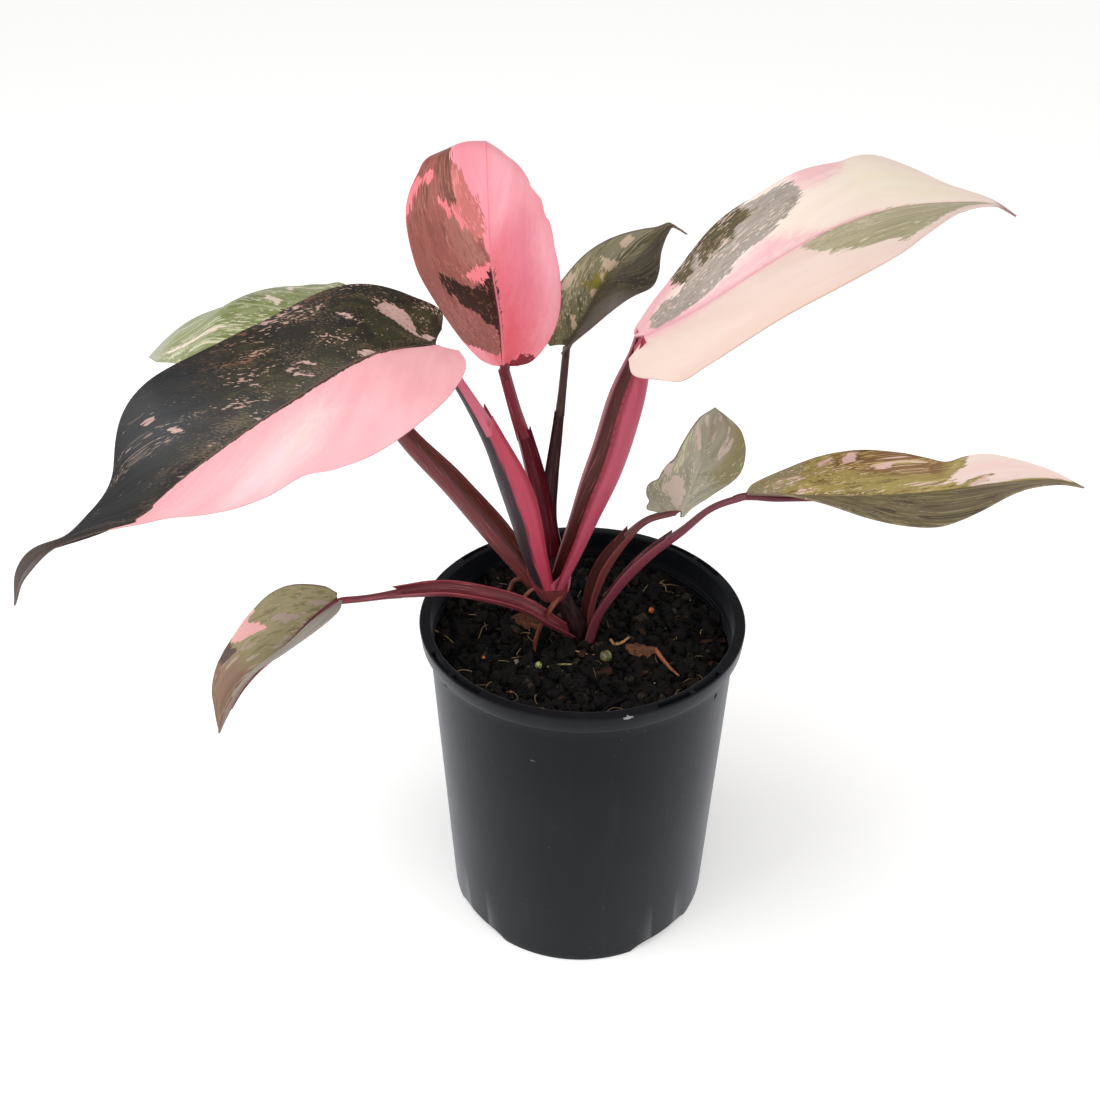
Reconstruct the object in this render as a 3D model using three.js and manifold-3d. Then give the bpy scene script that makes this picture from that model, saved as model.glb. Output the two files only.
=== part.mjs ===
// Potted pink princess philodendron: a nursery pot of potting mix, a short leaning stem and
// eight heart-shaped leaves on sheathed petioles. Millimetres, +Z up, the pot stands on z = 0
// with its axis on the Z axis, and the widest leaves reach out along X.
import * as THREE from "three";
import { mergeVertices } from "three/addons/utils/BufferGeometryUtils.js";
import Module from "manifold-3d";

const wasm = await Module();
wasm.setup();

const GAP = 0.35; // clearance between touching pieces
const UP = new THREE.Vector3(0, 0, 1);

// ---------------------------------------------------------------- driving dimensions

// Radii, heights and widths of the pot. Angles are in degrees about its axis, four times over.
const POT = {
  height: 153, rimRadius: 70, lipHeight: 7.4, lipTaper: 0.7, neckRadius: 66.2, baseRadius: 60.6,
  mouthRadius: 65.2, wall: 1.4, floor: 3, edge: 0.6, segments: 48,
  slot: { radius: 68, width: 2.2, depth: 3, firstAngle: 38.5, outerAngle: 13.5, bridgeAngle: 1.8 },
  drain: { firstAngle: 39, halfAngle: 16, height: 2.2, reach: 8 },
};

// The mix is `level` high in the middle, falls by `slope` towards +X and dips by up to `relief`.
const MIX = { level: 139.3, slope: 0.03, lump: 0.9, relief: 4, rings: 6 };

// `nodes` are the swollen rings along the stem.
const STEM = { path: [[0, 1, 132], [-1.5, 0.5, 142], [-5.5, -0.5, 154], [-11, 0.5, 166], [-14, 4.6, 177]],
  radius: 4, nodes: [0.3, 0.62], nodeSwelling: 0.14, nodeLength: 0.05 };

// `bends` is how many chords a bent half is laid out with. Rows leave the midrib a little bunched
// towards the base, by the power `bunching`, and sweep forward to the margin by the power `sweep`.
const BLADE = { thickness: 0.9, midribThickness: 2, bends: 8, bunching: 1.15, sweep: 1.5 };

// A petiole's section, as shares of its width: how deep its back is, how far its groove's mouth
// reaches, how high the sheath's wings rise from base to ear and how far the ears lean forward.
const PETIOLE = { depth: 0.42, mouth: 0.43, wings: [0.12, 0.34], ear: 0.5, grooveFloor: 0.35,
  openAboveSheath: 0.25, steps: 12 };

// Leaves. A blade is two curved halves either side of a midrib. `side` is the way its right half
// points and `roll` turns the blade about its midrib. An outline holds [along, out] points of the
// flattened half. `fold` and `cup` raise the half at the midrib and bend it towards its margin, in
// degrees at [fraction of the length, value] stations. A petiole runs from the crown to the blade:
// `channel` is the way its grooved face looks and `sheath` is where the sheath ends, in ears.
const LEAVES = {
  a: {
    midrib: [[-55, -15, 283], [-78, -22, 282], [-108, -33, 268], [-138, -46, 251], [-161, -55, 235],
      [-177, -58, 230], [-192, -60, 225], [-204, -60, 214], [-212, -58, 198]],
    side: [-0.2, 0.85, 0.5], roll: [[0, -22], [0.5, 0], [1, 15]], rows: 22, columns: 3,
    right: { outline: [[-7, 9], [-9, 19], [2, 32], [28, 46], [65, 45], [100, 39], [126, 14],
      [146, 4], [170, 3], [193, 0]],
      fold: [[0, 15], [0.4, 12], [0.75, 35], [1, 30]], cup: [[0, -25], [1, -10]] },
    left: { outline: [[-4, 9], [-5, 19], [3, 31], [28, 40], [65, 34], [96, 23], [118, 9],
      [142, 3], [170, 2.5], [193, 0]],
      fold: [[0, 14], [0.4, 0], [0.75, 20], [1, 6]], cup: [[0, -30], [1, -15]] },
    petiole: { path: [[-15, -4.2, 165], [-20, -6, 186], [-25, -8, 210], [-32, -10, 233],
      [-40, -13, 254], [-48, -15, 270], [-55, -15, 282]],
      width: [10, 11, 11.5, 10, 7, 5, 4.5], channel: [0.8, 0.3, 0.5], sheath: 0.74 },
  },
  b: {
    midrib: [[-101, 40, 268], [-113, 45, 272], [-124, 50, 271], [-134, 54, 271], [-148, 60, 269],
      [-159, 65, 262], [-179, 74, 248], [-194, 80, 236]],
    side: [0.4, 0.9, 0], roll: [[0, 9], [0.5, -5], [1, 16]], rows: 18, columns: 3,
    right: { outline: [[-5, 6], [-5, 14], [5, 23], [32, 33], [65, 32], [88, 19], [104, 7], [112, 0]],
      fold: [[0, 8], [1, 8]], cup: [[0, -20], [1, -20]] },
    left: { outline: [[-5, 8], [-5, 16], [5, 25], [32, 33], [65, 29], [88, 16], [104, 7], [112, 0]],
      fold: [[0, -20], [1, -20]], cup: [[0, -20], [1, -20]] },
    petiole: { path: [[-19, 7, 164], [-34, 14, 183], [-53, 20, 204], [-74, 28, 224],
      [-88, 35, 244], [-101, 40, 266]],
      width: [11, 11.5, 11, 9.5, 7, 5], channel: [0.6, -0.45, 0.65], sheath: 0.86 },
  },
  c: {
    midrib: [[-32, 15, 261], [-33, 17, 280], [-36, 20, 302], [-37, 28, 323], [-38, 45, 337],
      [-39, 60, 336], [-39, 76, 329]],
    side: [1, -0.2, 0], roll: [[0, 4], [0.5, -18], [1, 5]], rows: 18, columns: 3,
    right: { outline: [[-3, 6], [-2, 13], [12, 27], [40, 34], [70, 33], [95, 26], [113, 9], [119, 0]],
      fold: [[0, -45], [0.4, -31], [0.75, -33], [1, -20]], cup: [[0, -20], [1, -20]] },
    left: { outline: [[-3, 5], [-1, 12], [12, 24], [40, 32], [70, 33], [95, 24], [113, 8], [119, 0]],
      fold: [[0, -24], [0.4, -15], [0.75, -18], [1, -5]], cup: [[0, -20], [1, -20]] },
    petiole: { path: [[-14, 9, 165], [-15, 10, 183], [-18, 12, 202], [-23, 14, 225],
      [-28, 15, 243], [-32, 15, 260]],
      width: [7, 6.5, 6, 5, 4.8, 4.2], channel: [0.3, -0.6, 0.4], sheath: 0.68 },
  },
  d: {
    midrib: [[-7, 40, 259], [-2, 43, 266], [8, 50, 283], [22, 58, 294], [32, 63, 300],
      [35, 65, 301], [39, 67, 299], [43, 69, 296]],
    side: [0.85, -0.35, -0.4], roll: [[0, 24], [0.5, -11], [1, -22]], rows: 14, columns: 3,
    right: { outline: [[-4, 5], [-2, 9], [10, 13], [30, 16], [45, 16], [57, 8], [66, 3], [76, 0]],
      fold: [[0, 60], [0.4, 46], [1, 40]], cup: [[0, -30], [1, -30]] },
    left: { outline: [[-4, 6], [-2, 10], [10, 16], [30, 15], [48, 10], [58, 5], [66, 2.5], [76, 0]],
      fold: [[0, 55], [0.4, 46], [1, 50]], cup: [[0, -20], [1, -20]] },
    petiole: { path: [[-9, 12, 165], [-14, 20, 187], [-13, 26, 204], [-11, 31, 220],
      [-9, 36, 237], [-7, 40, 258.5]],
      width: [6, 5.5, 5, 4.5, 3.4, 3], channel: [-0.2, -0.8, 0.3], sheath: 0.7 },
  },
  e: {
    midrib: [[21, -5, 282], [41, -6, 294], [64, -6, 310], [85, -4, 322], [106, 0, 328],
      [128, 4, 329], [145, 8, 327], [155, 10, 322]],
    side: [0.1, -1, 0], roll: [[0, -6], [0.5, -13], [1, 5]], rows: 20, columns: 3,
    right: { outline: [[-8, 7], [-8, 15], [6, 23], [38, 28], [76, 30], [105, 22], [126, 8],
      [140, 3], [149, 0]],
      fold: [[0, -8], [0.4, 15], [0.75, 14], [1, 5]], cup: [[0, -35], [1, -30]] },
    left: { outline: [[-6, 4], [-7, 9], [6, 18], [38, 24], [76, 27], [105, 30], [126, 10],
      [140, 3], [149, 0]],
      fold: [[0, 6], [0.4, 34], [0.75, 19], [1, 17]], cup: [[0, -20], [1, -20]] },
    petiole: { path: [[-9, -6, 167], [-6, -7, 186], [0, -8, 208], [7, -8, 228],
      [13, -7, 248], [18, -6, 266], [21, -5, 280]],
      width: [10, 11.5, 12.5, 13, 11, 8, 5.5], channel: [-0.75, -0.35, 0.5], sheath: 0.93 },
  },
  f: {
    midrib: [[62, -25, 226], [81, -27, 227], [103, -29, 228], [128, -31, 231], [153, -33, 236],
      [171, -34, 237], [184, -35, 235]],
    side: [0.1, -1, -0.1], roll: [[0, 20], [0.5, -16], [1, 0]], rows: 18, columns: 3,
    right: { outline: [[-1, 2], [2, 7], [25, 16], [55, 22], [80, 19], [102, 8], [123, 0]],
      fold: [[0, 31], [1, 31]], cup: [[0, -20], [1, -20]] },
    left: { outline: [[-1, 2], [2, 8], [25, 20], [55, 17], [80, 13], [102, 8], [123, 0]],
      fold: [[0, 18], [0.4, 25], [1, 24]], cup: [[0, -20], [1, -20]] },
    petiole: { path: [[6, -1, 136], [9, -3, 154], [17, -7, 173], [27, -12, 191],
      [38, -17, 205], [49, -22, 219], [61, -25, 225.9]],
      width: [7, 6.5, 6.5, 6, 4.2, 3.8, 3.6], channel: [-0.5, 0.1, 0.85], sheath: 0.56 },
  },
  g: {
    midrib: [[40, 5, 201], [43, 7, 208], [48, 11, 221], [52, 19, 232], [54, 26, 238]],
    side: [1, -0.2, -0.2], roll: [[0, -14], [0.5, -16], [1, 0]], rows: 12, columns: 3,
    right: { outline: [[-3, 4], [-2, 8], [6, 14], [24, 18], [36, 12], [46, 0]],
      fold: [[0, -45], [0.4, -7], [0.75, 13], [1, 19]], cup: [[0, -10], [1, -10]] },
    left: { outline: [[-4, 8], [-4, 15], [6, 17], [24, 14], [36, 9], [46, 0]],
      fold: [[0, 3], [0.4, 26], [0.75, 38], [1, 38]], cup: [[0, -10], [1, -10]] },
    petiole: { path: [[4.5, 6, 136], [5, 6, 156], [9, 5, 172], [16, 4, 186], [26, 4, 197],
      [38, 5, 200.5]],
      width: [6, 5.5, 5.5, 5, 3.6, 3.4], channel: [-0.5, -0.2, 0.8], sheath: 0.7 },
  },
  h: {
    midrib: [[-97, -35, 184], [-107, -38, 177], [-117, -42, 168], [-128, -46, 160],
      [-137, -49, 150], [-144, -51, 138], [-148, -52, 130]],
    side: [-0.3, 0.9, 0.2], roll: [[0, 16], [0.5, -11], [1, 11]], rows: 16, columns: 3,
    right: { outline: [[-2, 3], [0, 9], [14, 18], [32, 20], [50, 15], [68, 5], [77, 0]],
      fold: [[0, 65], [0.4, 52], [1, 56]], cup: [[0, -20], [1, -20]] },
    left: { outline: [[-2, 3], [0, 9], [14, 16], [32, 18], [50, 14], [68, 5], [77, 0]],
      fold: [[0, 42], [1, 38]], cup: [[0, -20], [1, -20]] },
    petiole: { path: [[-4.5, -5.5, 146.5], [-13, -12, 157], [-22, -15, 166], [-36, -20, 175],
      [-54, -26, 183], [-70, -30, 184.5], [-86, -34, 184.5], [-96, -35, 184]],
      width: [6.5, 7, 7, 6.8, 6.4, 5, 3.4, 3.2], channel: [0.2, -0.25, 1], sheath: 0.72 },
  },
};
// Inner leaves come first: each later petiole gives way to the ones before it.
const WRAPPING_ORDER = ["c", "d", "a", "e", "b", "g", "f", "h"];

// Aerial roots leave the stem below the crown and reach for the mix.
const ROOTS = [
  { radius: 1.1, path: [[-9, -10, 167], [-13, -11, 163], [-16, -11, 157], [-18.5, -10.5, 151],
    [-20, -10, 145], [-20.5, -9.5, 139.5]] },
  { radius: 0.9, path: [[-20, -2.5, 167.5], [-24, -2, 163], [-25.5, -2, 157], [-24.5, -2, 150]] },
  { radius: 1, path: [[-25, 5, 168], [-29, 5, 166], [-31.5, 5, 161], [-33, 5, 157]] },
];

// What lies on the mix. A prill is [x, y, radius]. A dry leaf has a midrib seen from above, a
// half outline along it, and an arch `lift` high. A twig's path holds [x, y, height over the mix].
const PRILLS = [[10, -17, 2.6], [-18.5, -23, 1.6], [32, 20, 1.4], [-42, -18, 1]];
const DRY_LEAF = { thickness: 0.6, tip: 0.4, ripple: 0.35, stalkRadius: 0.9, rows: 8, columns: 2 };
const DRY_LEAVES = [
  { midrib: [[-33, 8], [-26, 9], [-19, 8], [-12, 6]], half: [[0, 2], [6, 5], [14, 5], [22, 0]], lift: 1.6 },
  { midrib: [[31, -12], [27, -12], [22.5, -11], [18.5, -10.5]],
    half: [[0, 1.5], [4, 4.5], [8, 4], [12.6, 0]], lift: 2.2,
    stalk: [[31, -12, 2.4], [34, -17, 1], [37, -23, 0.8], [40, -28, 0.6]] },
];
const TWIGS = [
  { radius: 0.7, path: [[12.5, -4, 1.6], [14, -7, 0.6], [17, -8, 2.4], [20.5, -4, 3]] },
  { radius: 0.45, path: [[-15, -23.5, 0], [-10, -22, 0.5], [-4.5, -19.5, 0]] },
];

// ---------------------------------------------------------------- curves and tables

const vector = ([x, y, z]) => new THREE.Vector3(x, y, z);
const spline = (points) => new THREE.CatmullRomCurve3(points.map(vector));

// A smooth value at x through [[x, value], ...] stations.
function valueAt(stations, x) {
  const last = stations.length - 1;
  const at = THREE.MathUtils.clamp(x, stations[0][0], stations[last][0]);
  let i = 0;
  while (i < last - 1 && at >= stations[i + 1][0]) i++;
  const slope = (k) => {
    const [a, b] = [stations[Math.max(k - 1, 0)], stations[Math.min(k + 1, last)]];
    return (b[1] - a[1]) / (b[0] - a[0]);
  };
  const [x0, y0] = stations[i];
  const [x1, y1] = stations[i + 1];
  const h = x1 - x0;
  const t = (at - x0) / h;
  return (2 * t ** 3 - 3 * t ** 2 + 1) * y0 + (t ** 3 - 2 * t ** 2 + t) * h * slope(i)
    + (3 * t ** 2 - 2 * t ** 3) * y1 + (t ** 3 - t ** 2) * h * slope(i + 1);
}

// The value at a fraction of evenly spaced numbers.
const evenly = (values, f) => valueAt(values.map((v, i) => [i / (values.length - 1), v]), f);

// A point along a curve by length, running straight on past either end.
function alongCurve(curve, s) {
  const length = curve.getLength();
  const f = THREE.MathUtils.clamp(s / length, 0, 1);
  const over = s - f * length;
  return curve.getPointAt(f).addScaledVector(curve.getTangentAt(f), over);
}

// The part of `v` that is square to `axis`, as a unit vector.
const squareTo = (v, axis) => v.clone().addScaledVector(axis, -v.dot(axis)).normalize();

// ---------------------------------------------------------------- solids

function geometryFrom(points, triangles) {
  const g = new THREE.BufferGeometry();
  g.setAttribute("position", new THREE.Float32BufferAttribute(points.flatMap((p) => p.toArray()), 3));
  g.setIndex(triangles.flat());
  return g;
}

function toSolid(geometry) {
  const g = geometry.clone();
  g.deleteAttribute("normal");
  g.deleteAttribute("uv");
  const merged = mergeVertices(g, 1e-4);
  const index = merged.index.array;
  const triVerts = [];
  for (let i = 0; i < index.length; i += 3) {
    const [a, b, c] = index.slice(i, i + 3);
    if (a !== b && b !== c && c !== a) triVerts.push(a, b, c);
  }
  return new wasm.Manifold(new wasm.Mesh({
    numProp: 3,
    vertProperties: new Float32Array(merged.attributes.position.array),
    triVerts: new Uint32Array(triVerts),
  }));
}

function toGeometry(solid) {
  const mesh = solid.getMesh();
  const g = new THREE.BufferGeometry();
  g.setAttribute("position", new THREE.BufferAttribute(mesh.vertProperties, 3));
  g.setIndex(new THREE.BufferAttribute(mesh.triVerts, 1));
  const flat = g.toNonIndexed();
  flat.computeVertexNormals();
  return flat;
}

const cut = (solid, others) => others.reduce((left, other) => left.subtract(other), solid);

// The biggest body of a solid, without the crumbs that a cut leaves.
const largestBody = (solid) =>
  solid.decompose().reduce((best, body) => (body.volume() > best.volume() ? body : best));

// A closed plate around a triangulated sheet: thickness may vary from point to point.
function plate(points, triangles, thicknessAt) {
  const sheet = geometryFrom(points, triangles);
  sheet.computeVertexNormals();
  const normals = sheet.attributes.normal;
  const offset = (sign) => points.map((p, i) =>
    p.clone().addScaledVector(new THREE.Vector3().fromBufferAttribute(normals, i), sign * thicknessAt(i) / 2));
  const n = points.length;
  const faces = [...triangles, ...triangles.map(([a, b, c]) => [a + n, c + n, b + n])];
  const edges = new Set(triangles.flatMap(([a, b, c]) => [`${a},${b}`, `${b},${c}`, `${c},${a}`]));
  for (const edge of edges) {
    const [a, b] = edge.split(",").map(Number);
    if (!edges.has(`${b},${a}`)) faces.push([b, a, a + n], [b, a + n, b + n]);
  }
  return geometryFrom([...offset(1), ...offset(-1)], faces);
}

// A closed solid swept along a curve. `sectionAt` gives the outline at a fraction of the length as
// [across, out, lean] points, anticlockwise seen from the curve's far end: `out` runs towards
// `hint`, and lean slides a point along the curve. `overrun` lengthens both ends.
function sweep(curve, hint, fractions, sectionAt, overrun = 0) {
  const length = curve.getLength();
  const outlines = fractions.map(sectionAt);
  const points = fractions.flatMap((f, i) => {
    const tangent = curve.getTangentAt(f);
    const out = squareTo(hint, tangent);
    const across = out.clone().cross(tangent);
    const centre = alongCurve(curve, f * length + (f === 1 ? overrun : f === 0 ? -overrun : 0));
    return outlines[i].map(([x, y, lean = 0]) =>
      centre.clone().addScaledVector(across, x).addScaledVector(out, y).addScaledVector(tangent, lean));
  });
  const k = outlines[0].length;
  const faces = [];
  for (let i = 0; i < outlines.length - 1; i++) {
    for (let j = 0; j < k; j++) {
      const [a, b] = [i * k + j, i * k + ((j + 1) % k)];
      faces.push([a, b, b + k], [a, b + k, a + k]);
    }
  }
  const lid = (outline) => THREE.ShapeUtils.triangulateShape(
    outline.map(([x, y]) => new THREE.Vector2(x, y)), []);
  const end = (outlines.length - 1) * k;
  for (const [a, b, c] of lid(outlines[0])) faces.push([a, c, b]);
  for (const [a, b, c] of lid(outlines.at(-1))) faces.push([end + a, end + b, end + c]);
  return geometryFrom(points, faces);
}

const stepsTo = (n) => Array.from({ length: n + 1 }, (_, i) => i / n);

const circle = (radius, sides) => stepsTo(sides).slice(0, -1).map((f) =>
  [radius * Math.cos(2 * Math.PI * f), radius * Math.sin(2 * Math.PI * f)]);

// A round tapering strand through points.
function strand(points, radius, { sides = 7, steps = 9, taper = 0.6, grow = 0 } = {}) {
  const hint = new THREE.Vector3(0.3, -0.9, 0.4);
  return toSolid(sweep(spline(points), hint, stepsTo(steps),
    (f) => circle(radius * (1 - f * (1 - taper)) + grow, sides), grow));
}

// ---------------------------------------------------------------- pot

// A profile of [radius, z] points turned about the Z axis.
function turned(profile, segments) {
  const g = new THREE.LatheGeometry(profile.map(([r, z]) => new THREE.Vector2(r, z)), segments);
  return g.rotateX(Math.PI / 2);
}

// A block that spans an arc of a ring, for cutting.
function ringSector(innerRadius, outerRadius, fromAngle, toAngle, bottom, height) {
  const [a, b] = [fromAngle, toAngle].map(THREE.MathUtils.degToRad);
  const shape = new THREE.Shape();
  shape.absarc(0, 0, outerRadius, a, b, false);
  shape.absarc(0, 0, innerRadius, b, a, true);
  shape.closePath();
  const g = new THREE.ExtrudeGeometry(shape, { depth: height, bevelEnabled: false, curveSegments: 5 });
  return toSolid(g.translate(0, 0, bottom));
}

function potSolid() {
  const { height, rimRadius, neckRadius, baseRadius, mouthRadius, wall, floor, edge } = POT;
  const neck = height - POT.lipHeight;
  const profile = [
    [0, 0], [baseRadius - edge, 0], [baseRadius, edge], [neckRadius, neck],
    [rimRadius - POT.lipTaper, neck], [rimRadius, height - edge], [rimRadius - edge, height],
    [mouthRadius + edge, height], [mouthRadius, height - edge],
    [neckRadius - wall, neck], [baseRadius - wall, floor + edge], [baseRadius - wall - edge, floor],
    [0, floor],
  ];
  const cutters = [];
  for (let quarter = 0; quarter < 4; quarter++) {
    const slotAngle = POT.slot.firstAngle + 90 * quarter;
    const { radius, width, depth, outerAngle, bridgeAngle } = POT.slot;
    for (const [from, to] of [[-outerAngle, -bridgeAngle], [bridgeAngle, outerAngle]]) {
      cutters.push(ringSector(radius - width / 2, radius + width / 2,
        slotAngle + from, slotAngle + to, height - depth, depth + 1));
    }
    const drainAngle = POT.drain.firstAngle + 90 * quarter;
    cutters.push(ringSector(baseRadius - POT.drain.reach, rimRadius,
      drainAngle - POT.drain.halfAngle, drainAngle + POT.drain.halfAngle, -1, POT.drain.height + 1));
  }
  return cut(toSolid(turned(profile, POT.segments)), cutters);
}

// ---------------------------------------------------------------- potting mix

// The top of the mix, nearly level and lumpy.
function mixHeight(x, y) {
  const lumps = Math.sin(0.2 * x + 1) * Math.cos(0.17 * y) + 0.6 * Math.sin(0.33 * x - 0.27 * y);
  return MIX.level - MIX.slope * x + MIX.lump * lumps;
}

// A faceted plug that fills the pot with GAP to spare, its spokes in line with the pot's facets.
function pottingMixGeometry() {
  const { rings } = MIX;
  const spokes = POT.segments;
  const fillRadius = (z) => THREE.MathUtils.mapLinear(z, POT.floor + POT.edge,
    POT.height - POT.lipHeight, POT.baseRadius - POT.wall, POT.neckRadius - POT.wall) - GAP;
  const bottom = POT.floor + POT.edge + GAP;
  const edge = fillRadius(MIX.level - MIX.relief);
  const points = [new THREE.Vector3(0, 0, mixHeight(0, 0))];
  const faces = [];
  const ringPoint = (r, k, z) => {
    const angle = (2 * Math.PI * k) / spokes;
    const [x, y] = [r * Math.cos(angle), r * Math.sin(angle)];
    return new THREE.Vector3(x, y, z ?? mixHeight(x, y));
  };
  for (let i = 1; i <= rings; i++) {
    for (let k = 0; k < spokes; k++) points.push(ringPoint((edge * i) / rings, k));
  }
  for (let k = 0; k < spokes; k++) points.push(ringPoint(fillRadius(bottom), k, bottom));
  points.push(new THREE.Vector3(0, 0, bottom));
  const at = (ring, k) => (ring ? 1 + (ring - 1) * spokes + (k % spokes) : 0);
  for (let k = 0; k < spokes; k++) {
    faces.push([0, at(1, k), at(1, k + 1)]);
    for (let i = 1; i <= rings; i++) {
      faces.push([at(i, k), at(i + 1, k), at(i + 1, k + 1)], [at(i, k), at(i + 1, k + 1), at(i, k + 1)]);
    }
    faces.push([points.length - 1, at(rings + 1, k + 1), at(rings + 1, k)]);
  }
  return geometryFrom(points, faces);
}

// Lowers a piece until its lowest place lies GAP above the mix's faceted top.
function laidOnMix(geometry, mix) {
  const { position } = geometry.attributes;
  const ray = new THREE.Raycaster();
  let clearance = Infinity;
  for (let i = 0; i < position.count; i++) {
    const point = new THREE.Vector3().fromBufferAttribute(position, i);
    ray.set(point.clone().setZ(POT.height), UP.clone().negate());
    const [top] = ray.intersectObject(mix);
    clearance = Math.min(clearance, point.z - top.point.z);
  }
  return geometry.translate(0, 0, GAP - clearance);
}

// ---------------------------------------------------------------- stem, petioles and roots

function stemSolid(grow = 0) {
  const { path, radius, nodes, nodeSwelling, nodeLength } = STEM;
  const swelling = (f) => nodeSwelling
    * Math.max(...nodes.map((node) => Math.exp(-(((f - node) / nodeLength) ** 2))));
  return toSolid(sweep(spline(path), new THREE.Vector3(0, -1, 0.3), stepsTo(15),
    (f) => circle(radius * (1 + swelling(f)) + grow, 12), grow));
}

// The outline across a petiole: a rounded back, and a front that is a groove between two wings
// where `open` is 1 and rounded where it is 0.
function petioleSection(width, open, rise, lean, grow) {
  const a = width / 2 + grow;
  const b = PETIOLE.depth * width + grow;
  const bend = (deg) => [Math.sin(THREE.MathUtils.degToRad(deg)), Math.cos(THREE.MathUtils.degToRad(deg))];
  const back = [-90, -62, -31, 0, 31, 62, 90].map((deg) => {
    const [s, c] = bend(deg);
    const wing = Math.abs(deg / 90) ** 3;
    return [a * s, -b * c + (rise + 2 * grow) * wing, lean * wing];
  });
  const front = [58, 29, 0, -29, -58].map((deg) => {
    const [s, c] = bend(deg);
    const groove = -PETIOLE.grooveFloor * b * c + rise * Math.abs(deg / 90) ** 3;
    return [PETIOLE.mouth * width * s - grow * Math.sign(s),
      THREE.MathUtils.lerp(b * c, groove, open) + grow];
  });
  return [...back, ...front];
}

// A petiole from the crown to its blade. The sheath breaks off in a pair of ears.
function petioleSolid({ path, width, channel, sheath }, grow = 0) {
  const ear = [sheath - 0.03, sheath, sheath + 0.022];
  const plain = stepsTo(PETIOLE.steps).filter((f) => ear.every((e) => Math.abs(f - e) > 0.02));
  const fractions = [...plain, ...ear].sort((p, q) => p - q);
  const sectionAt = (f) => {
    const w = evenly(width, f);
    if (f > sheath) return petioleSection(w, PETIOLE.openAboveSheath, 0, 0, grow);
    const rise = w * THREE.MathUtils.lerp(...PETIOLE.wings, f / sheath);
    return petioleSection(w, 1, rise, f === sheath ? PETIOLE.ear * w : 0, grow);
  };
  return toSolid(sweep(spline(path), vector(channel), fractions, sectionAt, grow));
}

// ---------------------------------------------------------------- blades

// One half of a blade as rows of points from the midrib to the margin; sign is 1 for the right half.
function halfBlade({ midrib, side, roll, rows, columns, ...halves }, sign) {
  const { outline, fold, cup } = sign > 0 ? halves.right : halves.left;
  const rib = spline(midrib);
  const length = rib.getLength();
  const margin = spline(outline.map(([x, y]) => [x, y, 0]));
  const widest = Math.max(...outline.map(([, out]) => out));
  const sideHint = vector(side);
  const { bends, bunching, sweep: forward } = BLADE;
  return stepsTo(rows).map((u) => {
    const end = margin.getPointAt(u);
    const start = length * u ** bunching;
    return stepsTo(columns).map((v) => {
      const s = start + (end.x - start) * v ** forward;
      const f = s / length;
      const tangent = rib.getTangentAt(THREE.MathUtils.clamp(f, 0, 1));
      const across = squareTo(sideHint, tangent);
      const normal = across.clone().cross(tangent);
      const turn = THREE.MathUtils.degToRad(valueAt(roll, f));
      const outward = across.clone().multiplyScalar(Math.cos(turn)).addScaledVector(normal, Math.sin(turn));
      const upward = normal.clone().multiplyScalar(Math.cos(turn)).addScaledVector(across, -Math.sin(turn));
      const point = alongCurve(rib, s);
      for (let i = 0; i < bends; i++) {
        const reach = (end.y * v * (i + 0.5)) / bends;
        const angle = THREE.MathUtils.degToRad(valueAt(fold, f) + (valueAt(cup, f) * reach) / widest);
        point.addScaledVector(outward, (sign * Math.cos(angle) * end.y * v) / bends);
        point.addScaledVector(upward, (Math.sin(angle) * end.y * v) / bends);
      }
      return point;
    });
  });
}

function bladeSolid(leaf) {
  const right = halfBlade(leaf, 1);
  const left = halfBlade(leaf, -1);
  const { rows, columns } = leaf;
  const across = 2 * columns + 1;
  const points = [];
  for (let i = 0; i < rows; i++) points.push(...left[i].slice(1).reverse(), ...right[i]);
  points.push(right[rows][0]);
  const tip = points.length - 1;
  const triangles = [];
  for (let i = 0; i < rows; i++) {
    for (let c = 0; c < across - 1; c++) {
      const [a, b] = [i * across + c, i * across + c + 1];
      if (i < rows - 1) triangles.push([a, b, b + across], [a, b + across, a + across]);
      else triangles.push([a, b, tip]);
    }
  }
  const onMidrib = (i) => i < tip && i % across === columns;
  return toSolid(plate(points, triangles, (i) => (onMidrib(i) ? BLADE.midribThickness : BLADE.thickness)));
}

// ---------------------------------------------------------------- litter on the mix

function prillSolid([x, y, radius]) {
  const ball = new THREE.SphereGeometry(radius, 9, 6).rotateX(Math.PI / 2);
  return toSolid(ball.translate(x, y, mixHeight(x, y) + radius));
}

const overMix = (path) => path.map(([x, y, up]) => [x, y, mixHeight(x, y) + up]);

function dryLeafSolid({ midrib, half, lift, stalk }) {
  const { thickness, tip, ripple, stalkRadius, rows, columns } = DRY_LEAF;
  const rib = spline(midrib.map(([x, y]) => [x, y, 0]));
  const margin = spline(half.map(([x, y]) => [x, y, 0]));
  const points = [];
  for (const u of stepsTo(rows)) {
    const tangent = rib.getTangentAt(u);
    const across = UP.clone().cross(tangent);
    const reach = Math.max(margin.getPointAt(u).y, tip);
    for (let c = -columns; c <= columns; c++) {
      const p = rib.getPointAt(u).addScaledVector(across, (reach * c) / columns);
      const curl = 1 - (c / columns) ** 2 + ripple * Math.sin(4 * u + c);
      points.push(p.setZ(mixHeight(p.x, p.y) + lift * curl));
    }
  }
  const across = 2 * columns + 1;
  const triangles = [];
  for (let i = 0; i < rows; i++) {
    for (let c = 0; c < across - 1; c++) {
      const [a, b] = [i * across + c, i * across + c + 1];
      triangles.push([a, b + across, b], [a, a + across, b + across]);
    }
  }
  const leaf = toSolid(plate(points, triangles, () => thickness));
  return stalk ? leaf.add(strand(overMix(stalk), stalkRadius, { steps: 8, taper: 0.5 })) : leaf;
}

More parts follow.
